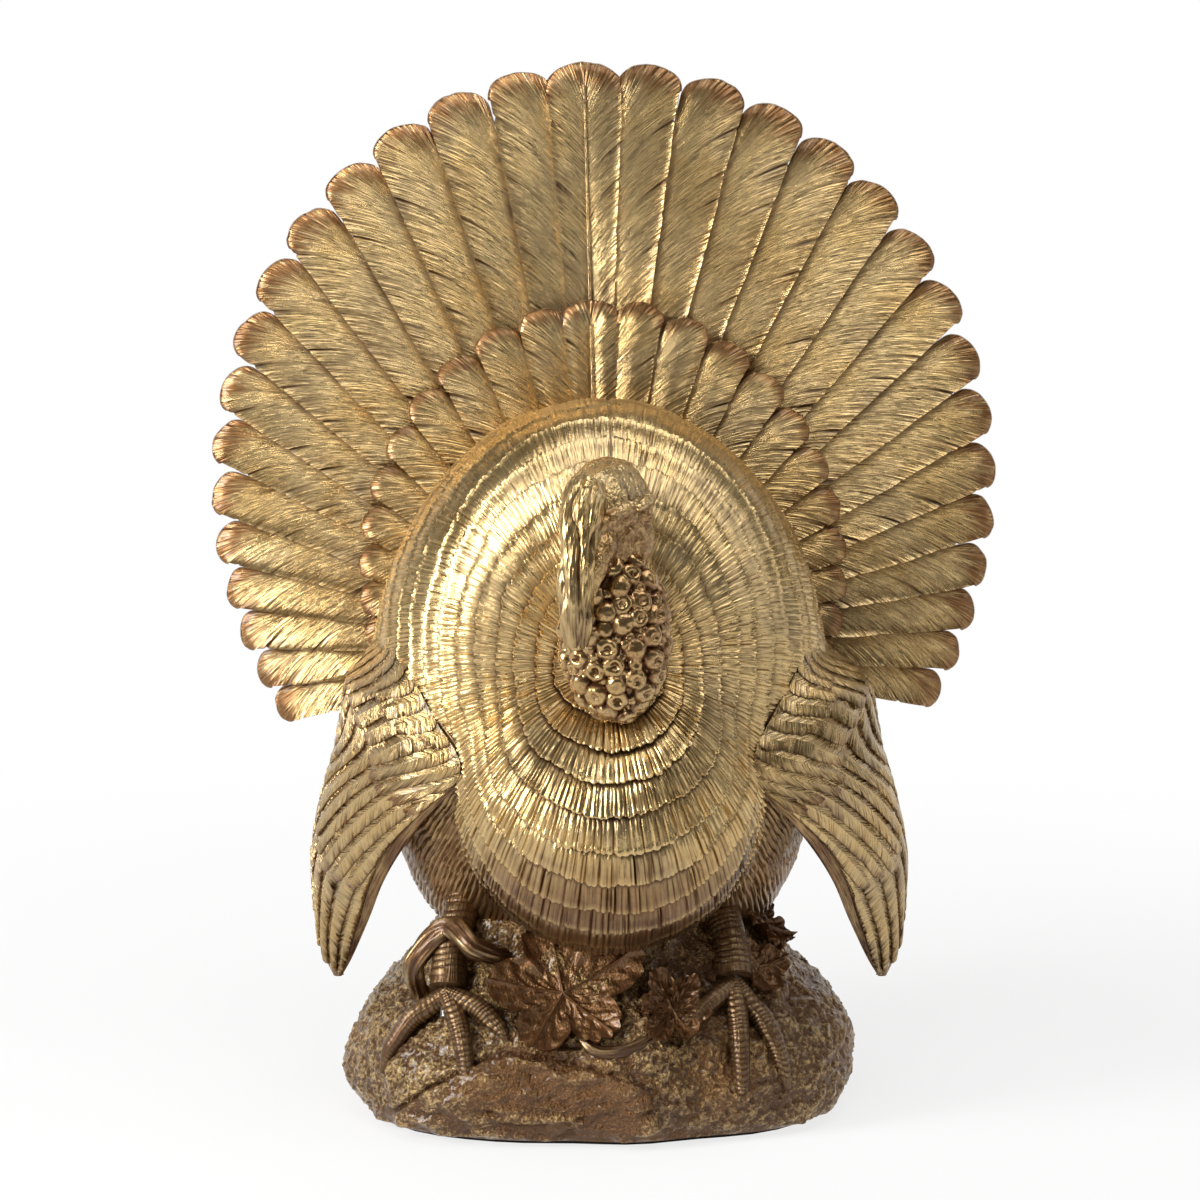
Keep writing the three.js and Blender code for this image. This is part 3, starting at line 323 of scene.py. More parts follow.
def vane(plate, inner, outer, peak_share, rng, rise=1.0):
    """The side of a feather that shows, from the edge of its inner neighbour to its own free edge.

    Its rings follow the barbs: from the inner edge outwards and towards the tip, where they fan out."""
    across = outer - inner
    length = plate.length(inner + peak_share * across)
    width = length * abs(across)
    notch = NOTCH_SHARE * width * (1 - peak_share)
    shoulder = length - notch
    rows_up = int((shoulder - plate.root) / BARB_SPACING)
    half_turns = 1 if peak_share else 0.5
    rows_round = int(half_turns * math.pi * (notch + width * (1 - peak_share)) / 2 / BARB_SPACING)
    turn = np.linspace(0, half_turns * math.pi, rows_round)
    lag = BARB_LAG_SHARE * width
    first, last = max(plate.root - lag, plate.root / 3), shoulder - lag
    edge_radius = np.append(np.linspace(plate.root, shoulder, rows_up, endpoint=False),
                            shoulder + notch * np.sin(turn))
    edge_share = np.append(np.ones(rows_up), peak_share + (1 - peak_share) * np.cos(turn))
    inner_radius = np.append(np.linspace(first, last, rows_up, endpoint=False),
                             np.linspace(last, last + 0.25 * width, rows_round))
    along = np.arange(rows_up + rows_round) * BARB_SPACING
    straight = np.arange(len(along)) < rows_up
    ridges = 0.5 * crest(wander(along, BARB_SIZES[0], rng)) + 0.4 * wander(along, BARB_SIZES[1], rng)
    splits = np.zeros_like(along)
    for place in np.arange(rng.uniform(0, SPLIT_GAP), along[rows_up], SPLIT_GAP):
        depth = rng.uniform(0.35, 1)
        splits += depth * hump(along - place - rng.uniform(-0.4, 0.4) * SPLIT_GAP, rng.uniform(0.5, 1.1))
    frill = plate.frill * wander(along, EDGE_SIZES[0], rng) + 0.3 * wander(along, EDGE_SIZES[1], rng)
    sway = 0.5 * wander(along, EDGE_SIZES[2], rng)
    trimmed = (0.9 * splits + 0.25 * np.abs(frill) + 0.5 + sway) / width
    edge_share = edge_share - np.where(straight, trimmed, 0)
    edge_radius = edge_radius + np.where(straight, 0, frill - 0.8 * splits)
    ridge, split = ridges[:, None], splits[:, None]

    def layer(shares):
        """Share across the vane, radius and distance to the tip, for lines between its two edges."""
        tuck = -VANE_TUCK / (np.maximum(inner_radius, plate.root) * abs(across))
        share = tuck[:, None] + (edge_share - tuck)[:, None] * shares
        bow = 0.05 * width * np.sin(math.pi * shares)
        radius = inner_radius[:, None] + (edge_radius - inner_radius)[:, None] * shares + bow
        off = np.clip((share - peak_share) / (1 - peak_share), -1, 1)
        return share, radius, shoulder + notch * np.sqrt(1 - off * off) - radius

    def laid(share, radius, height):
        """Points on the tail, bowed back most of all at the tip."""
        done = np.clip((radius - plate.root) / (length - plate.root), 0, 1.05)
        angle = inner + share * across
        return in_tail(radius * np.sin(angle), radius * np.cos(angle), height - plate.curl * done ** 3)

    share, radius, to_tip = layer(VANE_SHARES)
    here = radius * abs(across)
    strength = ramp(0.22, 0.95, VANE_SHARES) * ramp(-0.1, 0.12, VANE_SHARES)
    swell = 1 + 0.5 * wander(along, EDGE_SIZES[3], rng)[:, None]
    swell = swell * (1 - 0.55 * ramp(0.35, 1, radius / length))
    lift = rise * plate.step * swell * share_of(share) ** 3.8
    lift = lift + plate.crown * np.sin(math.pi * share_of(share))
    lift = lift + BARB_HEIGHT * strength * ridge - strength ** 1.5 * split
    lift = lift + 0.4 * hump((1 - VANE_SHARES) * here, 0.7) * straight[:, None]
    lift = lift - TIP_DROP * (1 - ramp(0, 5, to_tip)) ** 2
    front = laid(share, radius, plate.level + lift)
    # Painted shade: a brown band along the inner edge, where the neighbour's free edge overhangs it
    cavity = 0.6 * hump(share * here, 0.7) + strength * (0.5 * positive(-ridge) + 0.9 * split)
    cavity = cavity - 0.6 * positive(ridge) * strength
    streak = wander(along, 1.4, rng)[:, None] + wander(along, 5, rng)[:, None]
    rust = 1.25 - 1.25 * ramp(1, plate.rusty, to_tip + 0.25 * plate.rusty * streak)

    share, radius, to_tip = layer(VANE_BACK_SHARES)
    off_quill = share - QUILL_SHARE
    here = off_quill * radius * abs(across)
    quill = QUILL_HEIGHT * hump(here, 1.3) * ramp(3, 30, to_tip)
    groove = 0.35 * ridge * ramp(0, 0.3, np.abs(off_quill))
    rear = laid(share, radius, plate.level - plate.thickness - quill + groove + 0.7 * plate.step * share)
    cavity_b = 0.5 * hump(here - 2.2, 0.9) + 0.4 * positive(ridge)
    rust_b = 1 - ramp(1, 12, to_tip + 3 * streak)
    outwards = unit(front[:, -1] - front[:, 0])
    rim = (front[:, -1] * 0.5 + rear[:, 0] * 0.5 + 0.4 * outwards)[:, None]
    grain = xyz(along[:, None], VANE_SHARES * width, 0.0)
    grain_b = xyz(along[:, None], VANE_BACK_SHARES * width, 3.0)
    return loft(
        np.concatenate([front, rim, rear], 1),
        cavity=np.concatenate([cavity, np.full((len(along), 1), 0.5), cavity_b], 1),
        tip=np.concatenate([rust, rust[:, -1:], rust_b], 1),
        grain=np.concatenate([grain, grain[:, -1:], grain_b], 1))


def shaft(plate, angle, start, width, rng):
    """The raised quill down the middle of the front feather, with a groove along it."""
    length = plate.length(angle)
    radius = np.linspace(start, length - 9, 160)
    turn = full_turn(16)
    half = width / 2 * (1.1 - 0.75 * (radius - start) / (length - start))
    across = half[:, None] * np.cos(turn)
    done = (radius - plate.root) / (length - plate.root)
    seam = hump(np.cos(turn), 0.3) * (np.sin(turn) > 0)
    arch = 0.75 * np.sin(turn) - 0.45 * seam
    bowed = plate.curl * done[:, None] ** 3
    height = plate.level + plate.crown * 0.4 + 0.45 + half[:, None] * arch - bowed
    x = radius[:, None] * math.sin(angle) + across * math.cos(angle)
    y = radius[:, None] * math.cos(angle) - across * math.sin(angle)
    cavity = 0.7 * (seam + hump(np.sin(turn), 0.35)) + 0.2 * wander(radius, 2, rng)[:, None]
    return loft(in_tail(x, y, height), cavity=cavity, tip=0, grain=xyz(radius[:, None], 4 * turn, 0.0))


def feather(plate, index, rng):
    """One tail feather as parts: a vane at the sides, two vanes and a quill in the middle."""
    angle = index * plate.spacing() - TAIL_ROLL
    half = plate.spacing() / 2
    if index:
        side = math.copysign(1, index)
        return [vane(plate, angle - side * half, angle + side * half, 0.5, rng)]
    wide = half * 1.22
    sides = [vane(plate, angle, angle + side * wide, 0, rng, 0.45) for side in (-1, 1)]
    return [*sides, shaft(plate, angle, plate.root, 1.9, rng)]


# Rows of small square feathers over a round form, seen from a point inside it
def ray_reach(start, lobe, directions):
    """How far an ellipsoid's surface lies from a point along each direction."""
    centre, half = lobe
    away = (start - centre) / half
    heading = directions / half
    a, b = (heading * heading).sum(-1), heading @ away
    root = b * b - a * (away @ away - 1)
    return np.where(root > 0, positive((np.sqrt(positive(root)) - b) / a), 0)


def plane_reach(start, depth, directions):
    """How far a plane behind the hub's face lies from a point, for directions that lead to it."""
    gap = (TAIL_HUB - depth * TAIL_FACE - start) @ TAIL_FACE
    towards = (directions @ TAIL_FACE) * np.sign(gap)
    return np.where(towards > 0.05, abs(gap) / np.maximum(towards, 0.05), 1e3)


class RoundForm:
    """A form seen from its heart, with rows of feathers round an axis."""

    def __init__(self, heart, axis, cut_depth, columns, rows, seed):
        self.heart = heart
        self.axis = unit(np.array(axis))
        self.side = unit(np.cross(self.axis, [0.0, 0.6, 0.8]))
        self.rise = np.cross(self.side, self.axis)
        self.cut_depth = cut_depth
        self.rows = rows
        self.seed = seed
        self.turn = full_turn(columns)
        self.row_scale = np.ones(columns)

    def away(self, row, spacing):
        """Angle from the axis where a row starts, for each column."""
        return FIRST_ROW + row * spacing * self.row_scale

    def direction(self, away):
        """Directions away from the axis by an angle for each column."""
        out = np.cos(self.turn)[:, None] * self.rise + np.sin(self.turn)[:, None] * self.side
        return np.cos(away)[:, None] * self.axis + np.sin(away)[:, None] * out

    def limit(self, directions):
        """How far the plane that ends the form lies from the heart."""
        return plane_reach(self.heart, self.cut_depth, directions)


class BodyForm(RoundForm):
    """Mantle, breast and thighs. Its rows lie wider apart on the breast than on the mantle."""

    def __init__(self, *lines, **counts):
        super().__init__(*lines, **counts)
        self.row_scale = 0.78 + 0.34 * (0.5 - 0.5 * np.cos(self.turn)) ** 2

    def reach(self, directions):
        """How far the surface lies from the heart, and how much of a thigh it is there, from 0 to 1."""
        torso = np.stack([ray_reach(self.heart, lobe, directions) for lobe in (MANTLE, BREAST)])
        thighs = np.stack([ray_reach(self.heart, lobe, directions) for lobe in THIGHS])
        reach = (np.concatenate([torso, thighs]) ** BLEND_POWER).sum(0) ** (1 / BLEND_POWER)
        low = ramp(146, 130, self.heart[2] + reach * directions[..., 2])
        flank = low * ramp(0, 5, torso[0] - torso[1])
        return reach, np.maximum(flank, ramp(-1, 4, thighs.max(0) - torso.max(0)))


class RumpForm(RoundForm):
    """The rear of the bird, under the fan."""

    def reach(self, directions):
        """How far the surface lies from the heart, and how hairy it is there, from 0 to 1."""
        reach = ray_reach(self.heart, RUMP, directions)
        return reach, ramp(105, 85, self.heart[2] + reach * directions[:, 2])


BODY = BodyForm(HEART, NECK_SPOT - HEART, BODY_CUT, columns=1040, rows=FORM_ROWS, seed=100)
REAR = RumpForm(RUMP[0] + [0, 22, 0], (0.0, 0.3, 1.0), RUMP_CUT, columns=320, rows=FORM_ROWS, seed=300)


class RowEdge:
    """The jagged edge of one row of body feathers, its fibres and the grooves between them."""

    def __init__(self, form, row, sizes):
        rng = np.random.default_rng(form.seed + row)
        width, fibre = sizes.tooth_width / MM, sizes.fibre_width / MM
        middle = form.away(row, sizes.row_angle)
        radius = form.reach(form.direction(middle))[0].mean() * max(math.sin(middle.mean()), 0.1)
        self.arc = form.turn * radius
        waves = [wander(self.arc, size, rng) for size in (width * 2.2, width * 0.9, width)]
        waves = [wave + (wave[0] - wave[-1]) * np.linspace(0, 1, len(wave)) for wave in waves]
        bundles, fibres = strands(self.arc, width, rng), strands(self.arc, fibre, rng)
        self.shift = 0.8 * waves[0] + 0.5 * waves[1] + 0.5 * bundles + 0.25 * fibres
        self.groove = positive(-0.1 - 0.65 * fibres - 0.35 * bundles)
        self.fibre = 0.7 * fibres + 0.35 * bundles
        self.lift = waves[2]
        self.bold = 0.45 + 0.55 * (0.5 - 0.5 * np.cos(form.turn))  # from the mantle to the breast


def feather_rows(form, first, last, sizes):
    """A form's surface over some rows of small feathers, as a closed part.

    Each row's height rises to a lip over the next row. Hair takes its place on the thighs."""
    spacing, step, depth = sizes.row_angle, sizes.row_step / MM, sizes.fibre_depth / MM
    edges = [RowEdge(form, row, sizes) for row in range(first, last + 1)]
    rings, values = [], {"cavity": [], "tip": [], "grain": []}

    def ring(direction, height, cavity, tip, away, arc):
        """Adds one ring of points, raised off the form but not past the plane that ends it."""
        reach = np.minimum(form.reach(direction)[0] + height, form.limit(direction))
        rings.append(form.heart + reach[:, None] * direction)
        for name, value in (("cavity", cavity), ("tip", tip), ("grain", xyz(arc, away * reach, 0.0))):
            values[name].append(value)

    for row in range(first, last):
        above, here = edges[row - first], edges[row - first + 1]
        for share in ROW_LINE_SHARES:
            away = form.away(row + share, spacing)
            shift = above.shift * (1 - share) + here.shift * share
            direction = form.direction(away + shift / form.reach(form.direction(away))[0])
            reach, fur = form.reach(direction)
            flat = form.heart + reach[:, None] * direction
            grow, lip = ramp(-0.05, 0.25, share), ramp(0.8, 0.97, share)
            lift = step * (math.sin(0.5 * math.pi * share ** 0.8) * (1 + 0.2 * here.lift))
            lift = lift + depth * here.bold * here.fibre * grow + LIP_HEIGHT * hump(share - 0.95, 0.07)
            strand = form.turn * HAIR_STRANDS + 4.5 * cloud(flat, 14, 19) + 1.8 * cloud(flat, 5, 20)
            hair = backs(0.5 * strand) * (0.7 + 0.4 * cloud(flat, 4, 21))
            height = lift * (1 - fur) + HAIR_HEIGHT * hair * fur - 0.6 * step
            height = height + DENT_HEIGHT * cloud(flat, DENT_SIZE, 11)
            # Darker and redder towards the bottom of the body: partly brown glaze, partly painted shade
            # where the rock and the body's own bulk keep the light off
            low = ramp(126, 96, flat[:, 2])
            # Painted shadow: a dark band where each row starts under the lip of the row above; the lip
            # itself is lighter, a painted highlight
            cavity = 0.85 * hump(share * spacing * reach * form.row_scale, 1.5)
            cavity = cavity + (0.55 * here.bold * here.groove - 0.25 * here.fibre) * grow
            cavity = cavity - 0.5 * lip + 0.1 + 0.75 * low
            cavity = cavity * (1 - fur) + (0.6 - 0.5 * hair) * fur + 0.25 * ramp(14, 28, flat[:, 1])
            ring(direction, height, cavity, 0.4 * low * (1 - 0.5 * lip) + 0.4 * fur, away, here.arc)
    if last == form.rows:
        start = form.away(last, spacing)
        for share in np.linspace(0, 1, CAP_STEPS, endpoint=False)[1:]:
            away = start + (math.pi - start) * share
            ring(form.direction(away), 0, values["cavity"][-1], values["tip"][-1], away, edges[-1].arc)
    return loft(np.stack(rings), **{name: np.stack(value) for name, value in values.items()})


# Smooth lines, tubes and fused forms
def through(points, share):
    """The place at each share of a smooth line through points."""
    points = np.asarray(points, float)
    count = len(points) - 1
    place = share_of(share) * count
    index = np.minimum(np.floor(place).astype(int), count - 1)
    part = (place - index)[..., None]
    ends = np.concatenate([2 * points[:1] - points[1:2], points, 2 * points[-1:] - points[-2:-1]])
    a, b, c, d = (ends[index + i] for i in range(4))
    return b + 0.5 * part * (c - a + part * (2 * a - 5 * b + 4 * c - d + part * (3 * (b - c) + d - a)))


def tube_frame(centres):
    """Two directions square to a line at each of its points, which turn as little as they can."""
    tangents = unit(np.gradient(centres, axis=0))
    side = unit(np.cross(tangents[0], [0.3, 0.2, 0.9]))
    sides = []
    for tangent in tangents:
        side = unit(side - (side @ tangent) * tangent)
        sides.append(side)
    sides = np.stack(sides)
    return sides, np.cross(tangents, sides)


def tube(points, radii, rows, around, relief=None):
    """A tube along a smooth line. A relief gives what it adds to the radius, and the cavity.

    It is a function of the distance along the line, the angle round it and the share of its length."""
    share = np.linspace(0, 1, rows)
    centres = through(points, share)
    sides, others = tube_frame(centres)
    radius = np.interp(share, np.linspace(0, 1, len(radii)), radii)
    along = np.append(0, np.cumsum(np.linalg.norm(np.diff(centres, axis=0), axis=-1)))[:, None]
    turn = full_turn(around)
    lift, cavity = relief(along, turn[None], share[:, None]) if relief else (0, 0)
    reach = radius[:, None] + lift
    rings = centres[:, None] + (reach * np.cos(turn))[..., None] * sides[:, None]
    rings = rings + (reach * np.sin(turn))[..., None] * others[:, None]
    return loft(rings, cavity=cavity, tip=0, grain=xyz(turn * radius.mean(), along, 0.0))


def ball(centre, half):
    """An ellipsoid."""
    rings = np.array(centre) + sphere(rows=28, around=40, start=0.06) * np.array(half)
    return loft(rings, cavity=0, tip=0, grain=rings)


def fused(parts, voxel, smoothing):
    """Overlapping parts melted into one skin of even squares: its points and faces."""
    whole = joined(parts)
    mesh = bpy.data.meshes.new("fused")
    faces = [list(face) for kind in ("quads", "tris") for face in whole[kind]]
    mesh.from_pydata(whole["points"] * MM, [], faces)
    thing = chosen("fused", mesh)
    remesh = thing.modifiers.new("Skin", "REMESH")
    remesh.mode = "VOXEL"
    remesh.voxel_size = voxel * MM
    soften = thing.modifiers.new("Soften", "SMOOTH")
    soften.factor = 0.5
    soften.iterations = smoothing
    for modifier in (remesh, soften):
        bpy.ops.object.modifier_apply(modifier=modifier.name)
    mesh = thing.data
    points = np.zeros(len(mesh.vertices) * 3)
    mesh.vertices.foreach_get("co", points)
    quads = np.zeros(len(mesh.polygons) * 4, np.int64)
    mesh.polygons.foreach_get("vertices", quads)
    bpy.data.objects.remove(thing)
    bpy.data.meshes.remove(mesh)
    return points.reshape(-1, 3) / MM, quads.reshape(-1, 4)


def corner_normals(points, quads):
    """The outward direction at each point."""
    a, b, c, d = (points[quads[:, i]] for i in range(4))
    flat = np.cross(c - a, d - b)
    total = np.zeros_like(points)
    for i in range(4):
        np.add.at(total, quads[:, i], flat)
    return unit(total + 1e-12)


def hollowness(points, quads, rounds):
    """How far each point lies in a hollow, compared with the mean of its surroundings."""
    links = np.concatenate([quads[:, [i, (i + 1) % 4]] for i in range(4)])
    links = np.concatenate([links, links[:, ::-1]])
    count = np.zeros(len(points))
    np.add.at(count, links[:, 0], 1)
    soft = points.copy()
    for _ in range(rounds):
        total = np.zeros_like(points)
        np.add.at(total, links[:, 0], soft[links[:, 1]])
        soft = total / count[:, None]
    return ((soft - points) * corner_normals(points, quads)).sum(-1)


def skin(parts, voxel, smoothing, relief, deep, brown, rust):
    """A fused form with a relief laid over it, browner where it is hollow.

    The relief and the rust are functions of its points."""
    points, quads = fused(parts, voxel, smoothing)
    points = points + relief(points)[:, None] * corner_normals(points, quads)
    cavity = share_of(hollowness(points, quads, rounds=14) / deep + brown)
    values = {"cavity": cavity[:, None], "tip": rust(points)[:, None], "grain": points}
    return {"points": points, "quads": quads, "tris": np.zeros((0, 3), np.int64), "values": values}


# Wings
WING_SPREAD = {-1: 104.0, 1: 112.0}
WING_BULGE = 19.0
WING_THICKNESS = 8.0
WING_TOP = 190.0
WING_TIP_HEIGHT = 46.0
WING_CHORD = 60.0
WING_RIM_SHARE = 0.93  # the feathers leave a smooth rim along the leading edge
# Along each edge: shares of the spread, of the chord ahead of the middle, and of the way down to the tip
WING_LEADING_SHARES = [
    (0.72, -0.2, 0), (0.65, -0.62, 0.11), (0.57, -0.85, 0.22), (0.49, -1, 0.33), (0.6, -0.86, 0.44),
    (0.72, -0.66, 0.57), (0.8, -0.48, 0.68), (0.86, -0.28, 0.8), (0.93, -0.02, 0.93), (0.975, 0.06, 0.995)]
WING_TRAILING_SHARES = [
    (0.76, 0.22, 0), (0.82, 0.36, 0.1), (0.88, 0.42, 0.2), (0.92, 0.46, 0.32), (0.95, 0.48, 0.44),
    (0.97, 0.5, 0.57), (0.985, 0.48, 0.7), (0.99, 0.38, 0.83), (0.995, 0.2, 0.93), (0.985, 0.1, 0.995)]
# Tiers of feathers, the lowest first: count, height over the shell, reach of the brown from the tips, then
# where the roots and the tips lie as shares down the wing and across it, from the front feather to the rear
WING_TIERS = (
    (9, 0.2, 4.0, ((0.56, 0.92), (0.45, 0.6), (0.3, 0.2), (0.2, -0.2), (0.14, -0.5)),
     ((1.0, 0.66), (0.93, 0.0), (0.82, -0.45), (0.68, -0.8), (0.58, -0.95))),
    (11, 1.1, 4.0, ((0.44, 0.94), (0.28, 0.8), (0.14, 0.65), (0.06, 0.35), (0.02, -0.3)),
     ((0.69, 0.7), (0.64, 0.12), (0.5, -0.25), (0.38, -0.62), (0.33, -0.95))),
    (12, 2.0, 7.0, ((0.4, 0.96), (0.28, 0.95), (0.15, 0.95), (0.04, 0.7), (0.0, -0.2)),
     ((0.47, 0.84), (0.39, 0.34), (0.27, 0.1), (0.19, -0.3), (0.16, -0.95))),
    (10, 2.6, 4.0, ((0.24, 0.95), (0.14, 0.95), (0.06, 0.9), (0.0, 0.6), (0.0, -0.2)),
     ((0.27, 0.72), (0.2, 0.45), (0.13, 0.3), (0.1, -0.2), (0.08, -0.9))),
)
# Wing feathers
FEATHER_SHARES = np.array([-1, -0.92, -0.72, -0.48, -0.24, -0.08, 0, 0.08, 0.24, 0.48, 0.72, 0.92, 1])
FEATHER_BACK_SHARES = np.array([1.0, 0.3, -0.3, -1.0])
FEATHER_CROWN = 0.9
FEATHER_TILT = 0.9
FEATHER_DEPTH = 2.2
FEATHER_SPACING = 0.6  # between the mesh's rows
FEATHER_BARB_HEIGHT = 0.8
FEATHER_HALF_SHARE = 0.62  # half a feather's width, as a share of the distance to the next
FLUTE_HEIGHT = 0.6  # on the inside of the wing


class Wing:
    """One wing's surface: down it from 0 to 1, and across it from 1, the leading edge, to -1."""

    def __init__(self, side):
        self.side = side
        size = np.array([side * WING_SPREAD[side], WING_CHORD, WING_TIP_HEIGHT - WING_TOP])
        top = np.array([0, 0, WING_TOP])
        self.leading = np.array(WING_LEADING_SHARES) * size + top
        self.trailing = np.array(WING_TRAILING_SHARES) * size + top
        self.length = (WING_TOP - WING_TIP_HEIGHT) * 1.15

    def half_thickness(self, down):
        return WING_THICKNESS * (1 - 0.45 * down) / 2

    def scale(self, down):
        """Millimetres for each share down the wing and across it."""
        chord = through(self.leading, down) - through(self.trailing, down)
        return np.array([self.length, float(np.linalg.norm(chord, axis=-1) / 2)])

    def place(self, down, across, lift):
        """A point lifted off the curved sheet that the wing follows."""
        front, rear = through(self.leading, down), through(self.trailing, down)
        half = (front - rear) / 2
        reach = np.linalg.norm(half, axis=-1, keepdims=True)
        out = np.array([self.side, 0.0, 0.0])
        out = unit(out - half * (half @ out)[..., None] / reach ** 2)
        bulge = WING_BULGE * np.sin(math.pi * (0.12 + 0.86 * down))[..., None]
        spread, raised = across[..., None], lift[..., None]
        normal = unit(out + 2 * spread * bulge / reach * half / reach)
        sheet = (front + rear) / 2 + half * spread + out * bulge * (1 - spread ** 2)
        return self.pressed(sheet + normal * raised, down, across, lift)

    def pressed(self, points, down, across, lift):
        """The wing's root and the upper half of its leading edge lie close on the body."""
        away = points - BODY.heart
        far = np.linalg.norm(away, axis=-1)
        skin_reach = BODY.reach(away / far[..., None])[0]
        share = np.maximum(ramp(0.2, 0.05, down), ramp(0.55, 1.0, across) * ramp(0.5, 0.36, down))
        target = skin_reach + 0.3 + 0.35 * lift - 2.5 * ramp(0.1, 0.02, down)
        nearer = far + share * np.minimum(0, target - far)
        return BODY.heart + away * (nearer / far)[..., None]


def small_feather(place, length, half_width, rng, brown_tip):
    """A feather with barbs in a V. It is laid down by a function: place(along, across, height)."""
    tip = lag = 0.9 * half_width
    spacing = FEATHER_SPACING
    rows_up, rows_round = int((length - tip) / spacing), int(1.5 * half_width / spacing) + 3
    turn = np.linspace(0, math.pi / 2, rows_round)
    grow = 0.75 + 0.25 * ramp(0, 0.5, np.linspace(0, 1, rows_up))
    edge_along = np.append(np.linspace(0, length - tip, rows_up, endpoint=False),
                           length - tip + tip * np.sin(turn))[:, None]
    edge_across = np.maximum(half_width * np.append(grow, np.cos(turn)), 0.02)[:, None]
    quill_along = np.append(np.linspace(-lag, length - tip - lag, rows_up, endpoint=False),
                            np.linspace(length - tip - lag, length - 0.15 * tip, rows_round))[:, None]
    arc = np.arange(len(edge_along)) * spacing
    ridges = [0.6 * crest(wander(arc, 1.0, rng)) + 0.35 * wander(arc, 3.0, rng) for _ in range(2)]
    splits = [positive(wander(arc, 2.4, rng) - 0.72) * 3 for _ in range(2)]
    ridge, split = (np.where(FEATHER_SHARES < 0, left[:, None], right[:, None])
                    for left, right in (ridges, splits))
    size = np.abs(FEATHER_SHARES)
    strength = ramp(0.15, 0.9, size)
    across = edge_across * FEATHER_SHARES * (1 - 0.06 * split * strength)
    along = quill_along + (edge_along - quill_along) * size
    height = FEATHER_CROWN * (1 - size ** 2) + FEATHER_BARB_HEIGHT * (ridge - split) * strength
    height = height + 0.35 * hump(across, 0.5) + FEATHER_TILT * across / half_width
    height = height * (0.35 + 0.65 * ramp(0, 3, length - along))
    # Painted shade: brown along both side edges of each feather, in the grooves between neighbours
    cavity = 0.5 * hump((1 - size) * edge_across, 0.4)
    cavity = cavity + strength * (0.8 * split + 0.5 * positive(-ridge) - 0.3 * positive(ridge))
    rust = 1 - ramp(0.5, brown_tip, length - along + 1.5 * ridge)

    across_b = edge_across * FEATHER_BACK_SHARES
    along_b = quill_along + (edge_along - quill_along) * np.abs(FEATHER_BACK_SHARES)
    front = place(along, across, height)
    rear = place(along_b, across_b, np.full(across_b.shape, -FEATHER_DEPTH))
    flat = np.ones(across_b.shape)
    return loft(
        np.concatenate([front, rear], 1),
        cavity=np.concatenate([cavity, flat * 0.6], 1),
        tip=np.concatenate([rust, flat * 0.3], 1),
        grain=np.concatenate([xyz(arc[:, None], across, 0.0), xyz(arc[:, None], across_b, 3.0)], 1))


def wing_feather(wing, root, tip, half_width, lift, brown_tip, rng):
    """A feather laid on a wing from its root to its tip, which are given down the wing and across it."""
    run = tip - root
    scale = wing.scale(root[0] + 0.6 * run[0])
    length = float(np.linalg.norm(run * scale))
    aside = np.array([-run[1] * scale[1], run[0] * scale[0]]) / length / scale

    def place(along, across, height):
        share = along / length
        down = share_of(root[0] + run[0] * share + aside[0] * across)
        wide = root[1] + run[1] * share + aside[1] * across
        rim = WING_RIM_SHARE - 0.07 * ramp(0.42, 0.6, down) * (wide > 0)
        over = positive(np.abs(wide) - rim)
        raised = (lift + height) * ramp(-0.05, 0.35, share) + wing.half_thickness(down) - 12 * over
        return wing.place(down, np.clip(wide, -1, rim + 0.03), raised)

    return small_feather(place, length, half_width, rng, brown_tip)


def wing_shell(wing):
    """The plain body of the wing under its feathers, fluted on the inside."""
    down = np.linspace(0, 1, 130)[:, None]
    turn = full_turn(120)
    across = np.cos(turn) + 0 * down
    inside = share_of(-np.sin(turn))
    flute = np.sin(9 * across + 6 * down)
    lift = (wing.half_thickness(down) - 0.4) * np.sin(turn) + FLUTE_HEIGHT * flute * inside
    rings = wing.place(down + 0 * turn, across, lift)
    smear = rough(rings * np.array([1, 1, 0.25]), 5, 90, 3)
    cavity = 0.4 + 0.2 * inside - 0.35 * flute * inside - 0.4 * smear
    return loft(rings, cavity=cavity, tip=0.6, grain=xyz(across * 30, down * wing.length, 0.0))


def wing_parts(side, rng):
    """A wing: its shell, primaries to the tip, long coverts and short coverts up to the shoulder."""
    wing = Wing(side)
    parts = [wing_shell(wing)]
    for count, lift, brown_tip, roots, tips in WING_TIERS:
        roots, tips = (through(line, np.linspace(0, 1, count)) for line in (roots, tips))
        middles = roots * 0.4 + tips * 0.6
        for index in range(count - 1, -1, -1):
            beside = max(index - 1, 0)
            scale = wing.scale(middles[index][0])
            step, run = (middles[beside] - middles[beside + 1]) * scale, (tips - roots)[index] * scale
            spacing = abs(step[0] * run[1] - step[1] * run[0]) / np.linalg.norm(run)
            tip = tips[index] + [rng.uniform(-0.008, 0.004), 0]
            half_width = FEATHER_HALF_SHARE * spacing
            parts.append(wing_feather(wing, roots[index], tip, half_width, lift, brown_tip, rng))
    return parts


# Head, snood and wattle, which is an ellipsoid given by its centre and its half sizes
SKULL = np.array([3.0, -76.0, 243.0])
CROWN_BUMP = np.array([2.0, -86.0, 236.0])
NECK_FOOT = np.array([3.0, -40.0, 190.0])
WATTLE = (np.array([5.5, -93.0, 199.0]), np.array([19.0, 12.5, 31.0]))
BUMP_TRIES = 5000  # how often a place for one more caruncle is tried
BUMP_SIZES = (1.3, 0.5)  # of the largest and the smallest bump, as shares of the caruncles' radius
BUMP_GAP_SHARE = 0.78  # bumps lie at least this share of their two radii apart
DIMPLED_SHARE = 0.6  # of the bumps
WRINKLE_HEIGHT = 0.5
WART_HEIGHT = 0.7
SNOOD_WIDENING = 2.4
SNOOD_FOLD_HEIGHT = 0.7
SNOOD_WRINKLE_HEIGHT = 0.6
